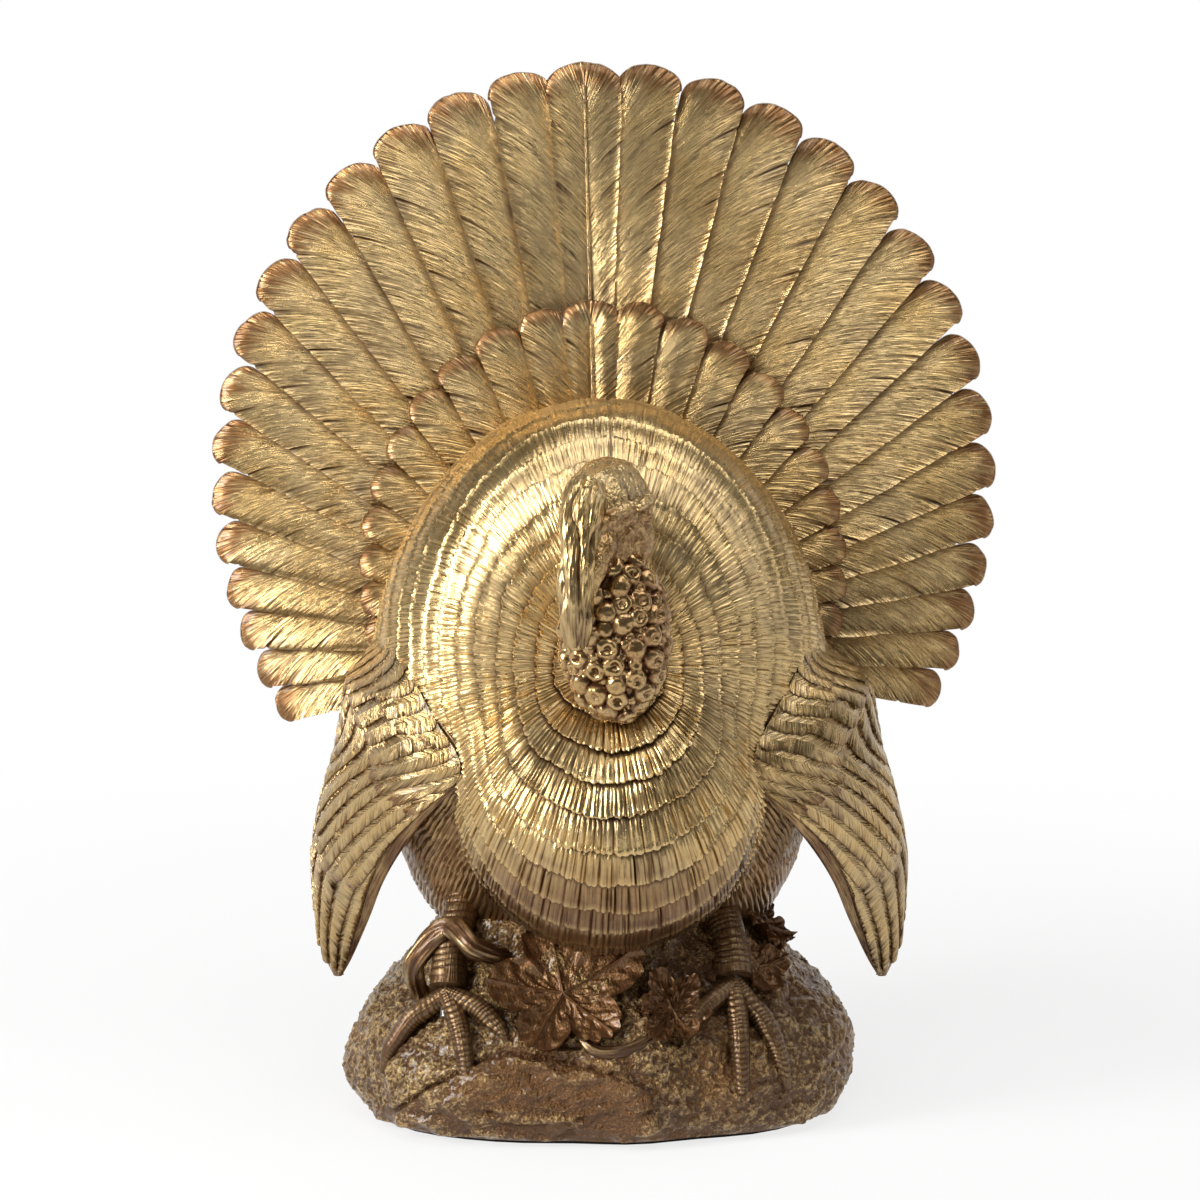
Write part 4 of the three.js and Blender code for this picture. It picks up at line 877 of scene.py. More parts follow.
# Raised folds on the face, which sweep from the right eye down to the left of the beak
FACE_FOLDS = (
    ((16, -90, 249), (6, -98.5, 245), (-0.5, -101.5, 239), (-3.5, -101.5, 226), (-4.5, -100, 214)),
    ((16, -88, 245), (10, -95, 243), (4, -99.5, 240)),
    ((17, -86, 241), (11, -94, 238.5), (5, -99, 235)),
    ((-3, -98, 259), (-6, -101.5, 250), (-7.5, -103.5, 236), (-8, -103, 222)),
)


def head_parts():
    """Neck, skull, cheek, beak, eyes, lids and folds, before they are fused."""
    beak_root = CROWN_BUMP + [0, -7, 1]
    beak = [beak_root, beak_root + [-2.6, -10.5, -6], beak_root + [-5.2, -14.3, -20.8]]
    eyes = [ball(SKULL + [side * 13.2, -14, 1], (3.4, 3.2, 3.4)) for side in (-1, 1)]
    lids = [tube([SKULL + [side * 11, -20, 4], SKULL + [side * 15, -14, 6.5], SKULL + [side * 14, -6, 4]],
                 [1.6, 2.4, 1.6], rows=30, around=16) for side in (-1, 1)]
    folds = [tube(line, [2.0, 2.5, 2.4, 1.6], rows=50, around=14) for line in FACE_FOLDS]
    return [
        tube([NECK_FOOT, SKULL + [0, 11, -21], SKULL], [19, 16, 13.6], rows=40, around=48),
        ball(SKULL, (16, 21, 20)),
        ball(CROWN_BUMP, (13, 14.5, 25)),
        ball(SKULL + [8, -8, -9], (9, 11, 12)),
        tube(beak, [7, 5.6, 1.8], rows=40, around=30),
        *eyes, *lids, *folds]


def head_relief(points):
    """Wrinkles that run down the head, and small warts on its right side."""
    warts = positive(cloud(points, 2.3, 31)) ** 1.5 * ramp(2, 9, points[:, 0])
    wrinkles = rough(points * np.array([1.0, 1.0, 0.3]), 2.2, 5, 3)
    return WRINKLE_HEIGHT * wrinkles + WART_HEIGHT * warts


def head_rust(points):
    """The face is browner than the crown, on the right of the snood."""
    return 0.8 * ramp(-6, 4, points[:, 0]) * ramp(254, 242, points[:, 2]) * ramp(-82, -90, points[:, 1])


def snood_part():
    """The fleshy flap over the beak, with long folds down it."""
    root = CROWN_BUMP + [-6.0, -7, 20]
    line = [root, root + [-2.6, -9.5, -12], root + [-4.6, -16, -36], root + [-4.4, -16, -58]]

    def relief(along, turn, share):
        lift = SNOOD_WIDENING * np.cos(turn) ** 2 * (1 - 0.5 * share)
        wavy = cloud(xyz(along / 13, 1.6 * np.cos(turn), 1.6 * np.sin(turn)), 1.1, 3)
        folds = 2 * np.abs(np.sin(2.5 * turn + 2.2 * wavy)) ** 0.8 - 1
        wrinkles = rough(xyz(along * 0.25, 6 * np.cos(turn), 6 * np.sin(turn)), 2.0, 3, 3)
        cavity = 0.2 + 0.4 * ramp(0.6, 1, share) - 0.25 * folds - 0.35 * wrinkles
        return lift + SNOOD_FOLD_HEIGHT * folds + SNOOD_WRINKLE_HEIGHT * wrinkles, cavity

    return tube(line, [4.2, 6.2, 6.0, 5.2, 4.6, 4.6, 2.8], rows=170, around=130, relief=relief)


def packed_bumps(half, radius, rng):
    """Places and sizes of bumps that just touch, the large ones first, on an ellipsoid."""
    places, sizes = np.zeros((0, 3)), np.zeros(0)
    for size in np.linspace(*BUMP_SIZES, BUMP_TRIES) * radius:
        place = unit(rng.normal(size=3)) * half
        if (np.linalg.norm(places - place, axis=-1) > BUMP_GAP_SHARE * (sizes + size)).all():
            places, sizes = np.vstack([places, place]), np.append(sizes, size)
    return places, sizes


def wattle_part(radius, rng):
    """The wattle, covered in round caruncles, most of them with a dimple."""
    centre, half = WATTLE
    round_form = sphere(rows=200, around=250, start=0.02)
    shape = round_form.shape[:2]
    flat = (round_form * half).reshape(-1, 3)
    places, sizes = packed_bumps(half, radius, rng)
    tall = rng.uniform(0.75, 1.15, len(sizes))
    dimpled = rng.uniform(0, 1, len(sizes)) < DIMPLED_SHARE
    dimples = np.where(dimpled, rng.uniform(0.5, 1.1, len(sizes)), 0)
    bent = flat + 0.5 * xyz(*(cloud(flat, 3, seed) for seed in (51, 52, 53)))
    distance = np.linalg.norm(bent[:, None] - places[None], axis=-1) / sizes
    dome = np.sqrt(np.clip(1.25 - distance ** 2, 0, 1.25)) * sizes * tall
    nearest = dome.argmax(1)
    off = distance[np.arange(len(flat)), nearest]
    dimple = hump(off, 0.36) * dimples[nearest]
    height = 0.85 * dome.max(1) - 0.7 * sizes[nearest] * dimple + 0.3 * cloud(flat, 1.5, 9)
    rings = (centre + flat + unit(flat / half ** 2) * (height - 0.9)[:, None]).reshape(*shape, 3)
    # The ring round each dimple is lighter, a painted highlight; the gaps between bumps and the dimples are
    # browner
    rim = hump(off - 0.58, 0.24) * (dimples[nearest] > 0)
    cavity = 0.8 * ramp(0.72, 0.98, off) + 0.6 * dimple - 0.5 * rim + 0.1
    # Rust brown all over, and more of it towards the upper right: painted shade on the side away from the
    # key light on the left
    rust = 0.4 + 0.4 * ramp(-8, 12, flat[:, 0]) * ramp(-28, 0, flat[:, 2])
    return loft(rings, cavity=cavity.reshape(shape), tip=rust.reshape(shape), grain=rings)


# Rock
ROCK_HALF = np.array([98.5, 80.0])
ROCK_HEIGHT = 94.0
ROCK_FOOT = 2.0  # the felt's thickness
ROCK_CORNER_POWER = 2.7
# Share of the height and the spread there, as a share of the half width and depth
ROCK_PROFILE_SHARES = np.array([
    (0, 0.93), (0.08, 0.985), (0.19, 1), (0.31, 0.965), (0.42, 0.89),
    (0.51, 0.8), (0.6, 0.72), (0.73, 0.63), (0.88, 0.52), (1, 0.38)])
# Lumps round the rock: how many, how high as a share of its spread, and where they start
ROCK_LUMP_SHARES = ((1, 0.012, 4.7), (3, 0.018, 1.1), (5, 0.014, 2.4), (8, 0.01, 0.3), (11, 0.007, 4.2))
LUMP_HEIGHT = 2.2
CRACK_DEPTH = 2.2
BOULDER_HEIGHT = 1.9  # of the smooth boulder over the grit round it
BOULDER_STREAKS = 1.8
SLOPE_STEP = 2.5
# The crack above the smooth boulder in front, from left to right: across and height
CRACK = np.array([
    (-92, 2), (-76, 12), (-66, 21), (-51, 29), (-43, 35), (-33, 37),
    (-15, 34), (3, 30), (18, 24), (23, 8), (26, 0)])


def rock_spread(angle):
    """The rock's radius at its widest, for angles round it."""
    across, deep = np.abs(np.cos(angle)) / ROCK_HALF[0], np.abs(np.sin(angle)) / ROCK_HALF[1]
    lump = 1 + sum(share * np.sin(count * angle + start) for count, share, start in ROCK_LUMP_SHARES)
    return lump * (across ** ROCK_CORNER_POWER + deep ** ROCK_CORNER_POWER) ** (-1 / ROCK_CORNER_POWER)


def rock_top(x, y):
    """Height of the rock over a place on the floor."""
    spread = np.hypot(x, y) / rock_spread(np.arctan2(y, x))
    upper = ROCK_PROFILE_SHARES[2:][::-1]
    return ROCK_FOOT + ROCK_HEIGHT * np.interp(spread, upper[:, 1], upper[:, 0])


def rock_normal(x, y):
    """The way that the rock's surface faces over a place on the floor."""
    east = rock_top(x + SLOPE_STEP, y) - rock_top(x - SLOPE_STEP, y)
    north = rock_top(x, y + SLOPE_STEP) - rock_top(x, y - SLOPE_STEP)
    return unit(np.array([-east, -north, 2 * SLOPE_STEP]))


def on_rock(x, y, lift=0.0):
    """The point on the rock over a place on the floor, or a point lifted off it."""
    return np.array([x, y, float(rock_top(x, y)) + lift])


def rock_part(grit):
    """The rock: gritty all over but for a smooth boulder in front, with a crack above it."""
    profile = through(ROCK_PROFILE_SHARES, np.linspace(0, 1, 108))
    turn = full_turn(620)
    out = xyz(np.cos(turn), np.sin(turn), 0.0)
    flat = out * (rock_spread(turn) * profile[:, 1:])[..., None]
    flat[..., 2] = ROCK_FOOT + profile[:, :1] * ROCK_HEIGHT
    above = flat[..., 2] - np.interp(flat[..., 0], CRACK[:, 0], CRACK[:, 1]) + 1.2 * cloud(flat, 7, 2)
    in_front = ramp(-5, -25, flat[..., 1])
    smooth = ramp(0.8, -1.5, above) * in_front
    gritty = 1 - smooth
    crack = hump(above, 1.0) * in_front * ramp(-90, -70, flat[..., 0]) * ramp(12, -10, flat[..., 0])
    streaks = rough(flat * np.array([0.4, 0.4, 1.3]) + 3 * cloud(flat, 14, 71)[..., None], 4.2, 8, 4)
    lumps = rough(flat, 17, 21, 3)
    sand = cloud(flat, 2.3, 41) + 0.9 * cloud(flat, 1.2, 43) + 0.9 * np.abs(cloud(flat, 5.2, 45))
    height = LUMP_HEIGHT * lumps + grit * sand * gritty - CRACK_DEPTH * crack
    height = height + smooth * (BOULDER_HEIGHT + BOULDER_STREAKS * streaks)
    foot = ramp(0, 3, flat[..., 2] - ROCK_FOOT)
    lean = np.gradient(profile[:, 1]) / np.maximum(np.gradient(profile[:, 0]), 1e-3)
    tilt = np.arctan2(-lean * ROCK_HALF.mean() / ROCK_HEIGHT, 1)[:, None, None]
    rings = flat + (out * np.cos(tilt) + UP * np.sin(tilt)) * (height * foot)[..., None]
    shade = 0.16 * ramp(-70, 40, flat[..., 0])
    cavity = 0.24 - 0.4 * sand * gritty + crack + (0.2 - 0.75 * streaks) * smooth - 0.2 * lumps + shade
    warm = ramp(0.05, 0.5, cloud(flat, 24, 5)) * 0.35 + 0.2 * smooth + shade
    return loft(rings, cavity=cavity, tip=warm, grain=flat)


# Legs: where the ankles stand over the floor, then the sizes of the shanks and the toes
ANKLES = {-1: (-58.0, -53.0), 1: (51.0, -50.0)}
ANKLE_LIFT = 6.0
SHANK_RADIUS = 6.8
TOE_RADIUS = 4.0
CLAW_RADIUS = 1.3
THIGH_FOOT = 88.0  # height where the shank comes out of the thigh
THIGH_SINK = 26.0
# Each toe's heading in degrees and its length, then shares of the length with their lift off the rock
TOES = {-1: ((84, 25), (-20, 25), (-52, 29)), 1: ((58, 24), (8, 22), (-48, 26))}
TOE_LIFT_SHARES = ((0, 0.6), (0.3, 0.62), (0.55, 0.66), (0.78, 0.4), (0.92, 0.3), (1.0, -0.1))


def shank_line(side):
    """A leg's line from the knee to the ankle."""
    x, y = ANKLES[side]
    ankle = on_rock(x, y, ANKLE_LIFT)
    knee = np.array([x - side * SHANK_RADIUS, y + THIGH_SINK, THIGH_FOOT])
    return [knee, knee + (ankle - knee) * 0.55 + [side * SHANK_RADIUS / 4, -SHANK_RADIUS / 3, 0], ankle]


def scutes(pitch, height):
    """Rings of horny scales with grooves between them, which fade at the back and at the end."""
    def relief(along, turn, share):
        skew = 0.5 * np.sin(2 * turn) + 0.45 * cloud(xyz(along, 3 * turn, 0.0), 4, 6)
        wave = (along + skew + 1.6 * cloud(xyz(along, 0.0, 0.0), 7, 8)) / pitch
        part = wave - np.floor(wave)
        groove = hump(np.minimum(part, 1 - part) * pitch, 0.32)
        fade = (1 - 0.95 * ramp(0.84, 0.93, share)) * (0.6 + 0.4 * np.sin(turn + 1))
        lift = height * (0.8 * np.sin(math.pi * part) - groove) * fade
        return lift, 0.3 + 0.7 * groove * fade - 0.2 * fade
    return relief


def leg_parts(side):
    """A ringed shank and toes, each with a claw."""
    shank, ankle = np.array([1, 0.95, 1.05]) * SHANK_RADIUS, shank_line(side)[2]
    parts = [tube(shank_line(side), shank, rows=160, around=48, relief=scutes(pitch=2.5, height=0.3))]
    radii = np.array([1, 1, 1.02, 0.98, 0.9, 0.8, 0.55, CLAW_RADIUS / TOE_RADIUS]) * TOE_RADIUS
    for degrees, length in TOES[side]:
        heading = math.radians(side * degrees)
        across, ahead = math.sin(heading) * length, -math.cos(heading) * length
        line = [on_rock(ankle[0] + across * share, ankle[1] + ahead * share, ANKLE_LIFT * lift)
                for share, lift in TOE_LIFT_SHARES]
        parts.append(tube(line, radii, rows=130, around=36, relief=scutes(pitch=1.9, height=0.24)))
    return parts


# Vines
VINE_RADIUS = 4.0
TENDRIL_RADIUS = 2.7


def bark(ridges, height):
    """Long grooves that wind slowly round a vine."""
    def relief(along, turn, share):
        wave = np.sin(ridges * turn + along / 7) + 0.5 * np.sin((2 * ridges + 1) * turn - along / 5)
        return height * (wave + cloud(xyz(along, 4 * turn, 0.0), 5, 12)), 0.45 - 0.4 * wave
    return relief


def vine_arch_part():
    """A thick vine that arches over the left foot."""
    ankle = shank_line(-1)[2]
    reach = SHANK_RADIUS + VINE_RADIUS
    top = ankle + [0, SHANK_RADIUS, 2 * reach]
    outer = on_rock(ankle[0] - reach, ankle[1] + reach)
    inner = on_rock(ankle[0] + 2 * reach, ankle[1] + VINE_RADIUS)
    line = [outer, [outer[0] - VINE_RADIUS / 2, outer[1] - VINE_RADIUS, (outer[2] + top[2]) / 2], top,
            [ankle[0] + reach, ankle[1] - VINE_RADIUS, (inner[2] + top[2]) / 2], inner]
    radii = np.array([0.9, 1.1, 1.2, 1, 0.8]) * VINE_RADIUS
    return tube(line, radii, rows=170, around=60, relief=bark(ridges=4, height=0.4))


# Leaves: place, radius, lobes and turn
LEAVES = {
    "leaf_large": ((-14.0, -60.0), 31.0, 5, 100.0),
    "leaf_small": ((27.0, -62.0), 15.0, 6, 75.0),
    "leaf_side": ((60.0, -14.0), 17.0, 5, 20.0),
    "leaf_foot": ((60.0, -36.0), 13.0, 3, 60.0),
}
LEAF_THICKNESS = 3.5
LEAF_CUP = 5.0
LEAF_HEART_SHARE = 0.03  # of the radius, where the leaf's first ring lies
LEAF_FOLD = 2.6  # from a lobe's rib down to the fold beside it
LEAF_EDGE_WAVE = 0.9
VEIN_HEIGHT = 0.38
VEIN_COUNT = 3.25  # veins beside each other from the leaf's middle to its edge
VEIN_SLANT = 2.1
# The tendril sags between the two leaves in front
TENDRIL_SAG = 13.0
TENDRIL_SPAN = 16.0


def tendril_part():
    """The thin vine that sags between the two leaves in front."""
    (left, low_left), (right, low_right) = LEAVES["leaf_large"][0], LEAVES["leaf_small"][0]
    middle, low = (left + right) / 2, (low_left + low_right) / 2 - TENDRIL_SAG
    places = ((-1, 1 / 3), (-1 / 2, -1 / 8), (1 / 4, -1 / 6), (1, 1 / 4))
    line = [on_rock(middle + x * TENDRIL_SPAN, low + y * TENDRIL_SAG, TENDRIL_RADIUS / 2)
            for x, y in places]
    radii = np.array([0.5, 1, 1.1, 0.9, 0.5]) * TENDRIL_RADIUS
    return tube(line, radii, rows=120, around=40, relief=bark(ridges=3, height=0.25))


def leaf_part(place, radius, lobes, turn_degrees, rng):
    """A lobed leaf that leans on the rock, folded along the rib of each lobe, with side veins."""
    share = np.linspace(LEAF_HEART_SHARE, 1, 38)[:, None]
    turn = full_turn(34 * lobes)
    phase = lobes * turn / 2
    lobe, off_rib = np.abs(np.cos(phase)), np.abs(np.sin(phase))
    lobe_id = np.round(phase / math.pi).astype(int) % lobes
    longer = 1 + rng.uniform(-0.16, 0.1, lobes)[lobe_id]
    teeth = 0.035 * np.abs(np.sin(7 * phase)) + 0.02 * np.sin(31 * turn)
    reach = radius * (0.62 + 0.38 * lobe ** 0.8) * longer * (1 + teeth)
    lift = rng.uniform(-0.8, 1.2, lobes)[lobe_id]
    rib = hump(off_rib * share * reach, 0.9 * (1.2 - share * 0.6))
    flat = xyz(share * reach * np.cos(turn), share * reach * np.sin(turn), 0.0)
    phase_of_veins = share * VEIN_COUNT - off_rib * VEIN_SLANT + 0.25 * cloud(flat, 6, 5)
    veins = np.sin(2 * math.pi * phase_of_veins)
    veins = veins * ramp(0.05, 0.3, off_rib) * ramp(0.1, 0.4, share)
    fold = LEAF_FOLD * off_rib * (1 - 0.45 * share)
    edge = LEAF_EDGE_WAVE * np.sin(5 * phase + 1.3) * share ** 3
    height = LEAF_CUP * share ** 2 * (1 + 0.35 * lift) - fold * share + rib + edge
    height = height + VEIN_HEIGHT * veins + LEAF_THICKNESS * 0.45 + 0.3 * cloud(flat, 2, 4)
    normal = rock_normal(*place)
    side = unit(np.cross([0, 1, 0], normal))
    other = np.cross(normal, side)
    angle = turn + math.radians(turn_degrees)

    def laid(share, height):
        x, y = share * reach * np.cos(angle), share * reach * np.sin(angle)
        return on_rock(*place) + x[..., None] * side + y[..., None] * other + height[..., None] * normal

    inwards = share[::-1]
    under = laid(inwards, height[::-1] - LEAF_THICKNESS * 0.55 - 1.2 * (1 - inwards))
    cavity = 0.55 - 0.5 * rib - 0.45 * veins + 0.35 * hump(1 - lobe, 0.3) * share
    rings = np.concatenate([laid(share, height), under])
    return loft(rings, cavity=np.concatenate([cavity, np.full(cavity.shape, 0.6)]), tip=0.7, grain=rings)


# Materials
class Wire:
    """A shader value that can be written in sums and products, each of which adds a Math node."""

    def __init__(self, recipe, socket):
        self.recipe = recipe
        self.socket = socket

    def math(self, operation, *others):
        sockets = dict(enumerate((self, *others)))
        return self.recipe.add("ShaderNodeMath", {"operation": operation}, sockets)

    def __add__(self, other):
        return self.math("ADD", other)

    def __sub__(self, other):
        return self.math("SUBTRACT", other)

    def __mul__(self, other):
        return self.math("MULTIPLY", other)

    def __rsub__(self, other):
        return self.recipe.add("ShaderNodeMath", {"operation": "SUBTRACT"}, {0: other, 1: self})

    __radd__ = __add__

    def ramp(self, low, high):
        """0 below low, 1 above high, and a smooth ramp between them."""
        sockets = {"Value": self, "From Min": low, "From Max": high}
        return self.recipe.add("ShaderNodeMapRange", {"interpolation_type": "SMOOTHSTEP"}, sockets)

    def clipped(self):
        return self.recipe.add("ShaderNodeClamp", {}, {"Value": self})


class Recipe:
    """A material or world under construction."""

    def __init__(self, tree):
        self.tree = tree
        tree.nodes.clear()

    def add(self, kind, settings, sockets, output=0):
        """A node with its settings set first, then the values or links of its sockets."""
        node = self.tree.nodes.new(kind)
        for name, value in settings.items():
            setattr(node, name, value)
        for name, value in sockets.items():
            if isinstance(value, Wire):
                self.tree.links.new(value.socket, node.inputs[name])
            else:
                node.inputs[name].default_value = value
        return Wire(self, node.outputs[output]) if node.outputs else None

    def surface(self, shader):
        """Ends the recipe with what it shows."""
        self.add("ShaderNodeOutputMaterial", {}, {"Surface": shader})

    def attribute(self, name, output="Fac"):
        return self.add("ShaderNodeAttribute", {"attribute_name": name}, {}, output)

    def place(self):
        return self.add("ShaderNodeTexCoord", {}, {}, "Object")

    def stretched(self, vector, scale):
        return self.add("ShaderNodeVectorMath", {"operation": "MULTIPLY"}, {0: vector, 1: scale})

    def noise(self, vector, scale, detail=3.0, roughness=0.55):
        sockets = {"Vector": vector, "Scale": scale, "Detail": detail, "Roughness": roughness}
        return self.add("ShaderNodeTexNoise", {}, sockets)

    def mixed(self, share, first, second):
        """First where share is 0 and second where it is 1, for colours."""
        return self.add("ShaderNodeMix", {"data_type": "RGBA"}, {0: share, 6: first, 7: second}, 2)

    def bumped(self, height, distance, normal=None):
        sockets = {"Height": height, "Distance": distance, "Strength": 1.0}
        if normal:
            sockets["Normal"] = normal
        return self.add("ShaderNodeBump", {}, sockets)


def rgba(colour, factor=1.0):
    """A colour for a socket, lighter or darker by a factor."""
    return (*(channel * factor for channel in colour), 1.0)


def new_recipe(name):
    """A new material and its empty recipe."""
    material = bpy.data.materials.new(name)
    material.use_nodes = True
    return material, Recipe(material.node_tree)


# How brown each finish is all over, how metallic and how rough, then the depths of its streaks, of its
# dents and of its grit in millimetres
FINISHES = {
    "gold_leaf": (0.0, 1.0, 0.27, 0.16, 0.04, 0.03),
    "gold_tail": (0.0, 1.0, 0.25, 0.2, 0.02, 0.0),
    "gold_wing": (0.14, 1.0, 0.26, 0.3, 0.03, 0.03),
    "gold_wattle": (0.04, 1.0, 0.23, 0.0, 0.06, 0.0),
    "gold_brown": (0.54, 0.95, 0.3, 0.14, 0.08, 0.06),
    "gold_rock": (0.14, 1.0, 0.28, 0.1, 0.16, 0.42),
}
BUMP_STRENGTH = 4  # the bumps are this much deeper than the depths above
# How finely each noise of the gold varies, per metre, and how it is drawn out along the feathers' barbs
PATCH_SCALE, MOTTLE_SCALE, GRIT_SCALE = 40.0, 190.0, 640.0
STREAK_STRETCH = (1.2, 0.06, 1.0)


def gilded(name, colours, brown, metallic, rough_value, streak_depth, dent_depth, grit_depth):
    """Worn gold leaf over brown glaze, which shows in hollows, in specks and at the feather tips, and also
    lays painted shade and painted highlights where a piece's cavity and tip values hold them.
    """
    material, recipe = new_recipe(name)
    place = recipe.place()
    grain = recipe.attribute("grain", "Vector")
    cavity = recipe.attribute("cavity")
    tip = recipe.attribute("tip")
    patches = recipe.noise(place, PATCH_SCALE, 4.0)
    mottle = recipe.noise(place, MOTTLE_SCALE, 4.0, 0.6)
    streaks = recipe.noise(recipe.stretched(grain, STREAK_STRETCH), 1.0, 2.0, 0.5)
    grit = recipe.noise(place, GRIT_SCALE, 3.0, 0.65)
    # Brown glaze in the hollows, which also lays painted shade and painted highlights where a piece's
    # cavity values hold them
    glaze_and_shade = (cavity + patches.ramp(0.48, 0.72) * 0.36 + mottle.ramp(0.5, 0.72) * 0.1
             + streaks.ramp(0.5, 0.72) * 0.36 + grit.ramp(0.62, 0.4) * (grit_depth * 1.6)
             + brown).clipped()
    leaf = recipe.mixed(patches.ramp(0.3, 0.7), rgba(colours.leaf), rgba(colours.pale_leaf))
    coloured = recipe.mixed(glaze_and_shade, leaf, rgba(colours.glaze_and_shade))
    # Rust brown at the feather tips, which also lays painted shade where a piece's tip values hold it: the
    # upper right of the wattle, the right of the rock and the bottom of the body
    rust = (tip * (0.4 + mottle.ramp(0.3, 0.6) * 0.3 + streaks.ramp(0.4, 0.6) * 0.35)).clipped()
    coloured = recipe.mixed(rust, coloured, rgba(colours.rust))
    bare = (glaze_and_shade * 0.6 + rust * 0.3).clipped()
    normal = None
    for waves, depth in ((streaks, streak_depth), (mottle, dent_depth), (grit, grit_depth)):
        normal = recipe.bumped(waves, depth * MM * BUMP_STRENGTH, normal)
    shader = recipe.add("ShaderNodeBsdfPrincipled", {}, {
        "Base Color": coloured, "Metallic": (1 - bare * 0.25) * metallic,
        "Roughness": rough_value + bare * 0.14 + (mottle - 0.5) * 0.12, "Normal": normal,
        "Coat Weight": 0.35, "Coat Roughness": 0.12, "Specular IOR Level": 0.4})
    recipe.surface(shader)
    return material


def plain_finish(name, colour, metallic, rough_value, scale, depth):
    """Felt or steel: one colour with a fine grain."""
    material, recipe = new_recipe(name)
    mottle = recipe.noise(recipe.place(), scale, 4.0)
    coloured = recipe.mixed(mottle.ramp(0.3, 0.7), rgba(colour, 0.75), rgba(colour, 1.2))
    shader = recipe.add("ShaderNodeBsdfPrincipled", {}, {
        "Base Color": coloured, "Metallic": metallic, "Roughness": rough_value + (mottle - 0.5) * 0.15,
        "Normal": recipe.bumped(mottle, depth * MM)})
    recipe.surface(shader)
    return material


def finish(name):
    """The material of that name, made when it is first asked for."""
    found = bpy.data.materials.get(name)
    if found:
        return found
    return gilded(name, bpy.context.scene.turkey_colours, *FINISHES[name])


# Settings that a user would change
class TurkeySizes(bpy.types.PropertyGroup):
    """Reliefs and small forms."""

    row_angle: bpy.props.FloatProperty(
        name="Row angle", description="Angle between rows of body feathers, seen from the heart",
        default=math.radians(6.8), unit="ROTATION")
    row_step: bpy.props.FloatProperty(
        name="Row step", description="How far a row's edge stands over the next row",
        default=0.0018, unit="LENGTH")
    tooth_width: bpy.props.FloatProperty(
        name="Body feather width", description="Width of a small feather's square end",
        default=0.005, unit="LENGTH")
    fibre_depth: bpy.props.FloatProperty(
        name="Fibre depth", description="Height of the fibres of the body feathers",
        default=0.00095, unit="LENGTH")
    fibre_width: bpy.props.FloatProperty(
        name="Fibre width", description="Width of the fibres of the body feathers",
        default=0.0019, unit="LENGTH")
    caruncle_radius: bpy.props.FloatProperty(
        name="Caruncle radius", description="Radius of a bump on the wattle",
        default=0.0032, unit="LENGTH")
    rock_grit: bpy.props.FloatProperty(
        name="Rock grit", description="Height of the grains on the rock", default=0.0008, unit="LENGTH")


class TurkeyColours(bpy.types.PropertyGroup):
    """Colours of the finish."""

    leaf: bpy.props.FloatVectorProperty(
        name="Gold leaf", description="Colour of the gold leaf", subtype="COLOR",
        default=(0.62, 0.42, 0.172))
    pale_leaf: bpy.props.FloatVectorProperty(
        name="Pale leaf", description="Colour where the leaf lies thick", subtype="COLOR",
        default=(0.74, 0.545, 0.265))
    # Brown of the glaze in the hollows, and also the colour of the painted shade
    glaze_and_shade: bpy.props.FloatVectorProperty(
        name="Brown glaze", description="Colour of the glaze in the hollows", subtype="COLOR",
        default=(0.12, 0.06, 0.026))
    # Rust brown of the feather tips, and also the colour of painted shade on the wattle's upper right and
    # the rock's right side
    rust: bpy.props.FloatVectorProperty(
        name="Rust brown", description="Colour at the feather tips", subtype="COLOR",
        default=(0.24, 0.115, 0.042))
    felt: bpy.props.FloatVectorProperty(
        name="Felt", description="Colour of the felt sheet", subtype="COLOR", default=(0.026, 0.02, 0.016))
    steel: bpy.props.FloatVectorProperty(
        name="Steel", description="Colour of the pins", subtype="COLOR", default=(0.33, 0.33, 0.32))


class TurkeyStage(bpy.types.PropertyGroup):
    """Camera and light."""

    distance: bpy.props.FloatProperty(
        name="Distance", description="From the camera to the middle of the figure",
        default=1.8, unit="LENGTH")
    elevation: bpy.props.FloatProperty(
        name="Elevation", description="Camera's angle above the horizon",
        default=math.radians(9.5), unit="ROTATION")
    aim_height: bpy.props.FloatProperty(
        name="Aim height", description="Height that the camera looks at", default=0.197, unit="LENGTH")
    lens: bpy.props.FloatProperty(
        name="Lens", description="Focal length on a 36 mm wide sensor", default=139.5, unit="CAMERA")
    key_power: bpy.props.FloatProperty(
        name="Key light", description="Power of the soft light on the left", default=39.0, unit="POWER")
    fill_power: bpy.props.FloatProperty(
        name="Fill light", description="Power of the weak light on the right", default=4.0, unit="POWER")
    overhead_power: bpy.props.FloatProperty(
        name="Overhead light", description="Power of the soft light above", default=12.0, unit="POWER")
    world_strength: bpy.props.FloatProperty(
        name="Surroundings", description="Brightness of the grey studio round the figure", default=0.12)


# Starting numbers of the random draws; each wing adds its side and each leaf has its own
SEEDS = {"fan": 31, "coverts": 25, "wings": 60, "wattle": 8}


# One operator for each piece or group of like pieces
class TURKEY_OT_tail_fan(bpy.types.Operator):
    """Makes the long tail feathers in three groups"""

    bl_idname = "turkey.tail_fan"
    bl_label = "Tail fan"

    def execute(self, context):
        rng = np.random.default_rng(SEEDS["fan"])
        half = FAN.count // 2
        groups = {"fan_left": range(-half, -half // 3), "fan_middle": range(-half // 3, half // 3 + 1),
                  "fan_right": range(half // 3 + 1, half + 1)}
        for name, indices in groups.items():
            parts = [part for index in indices for part in feather(FAN, index, rng)]
            make_piece(name, parts, finish("gold_tail"), "gilt", "tail_fan")
        return {"FINISHED"}


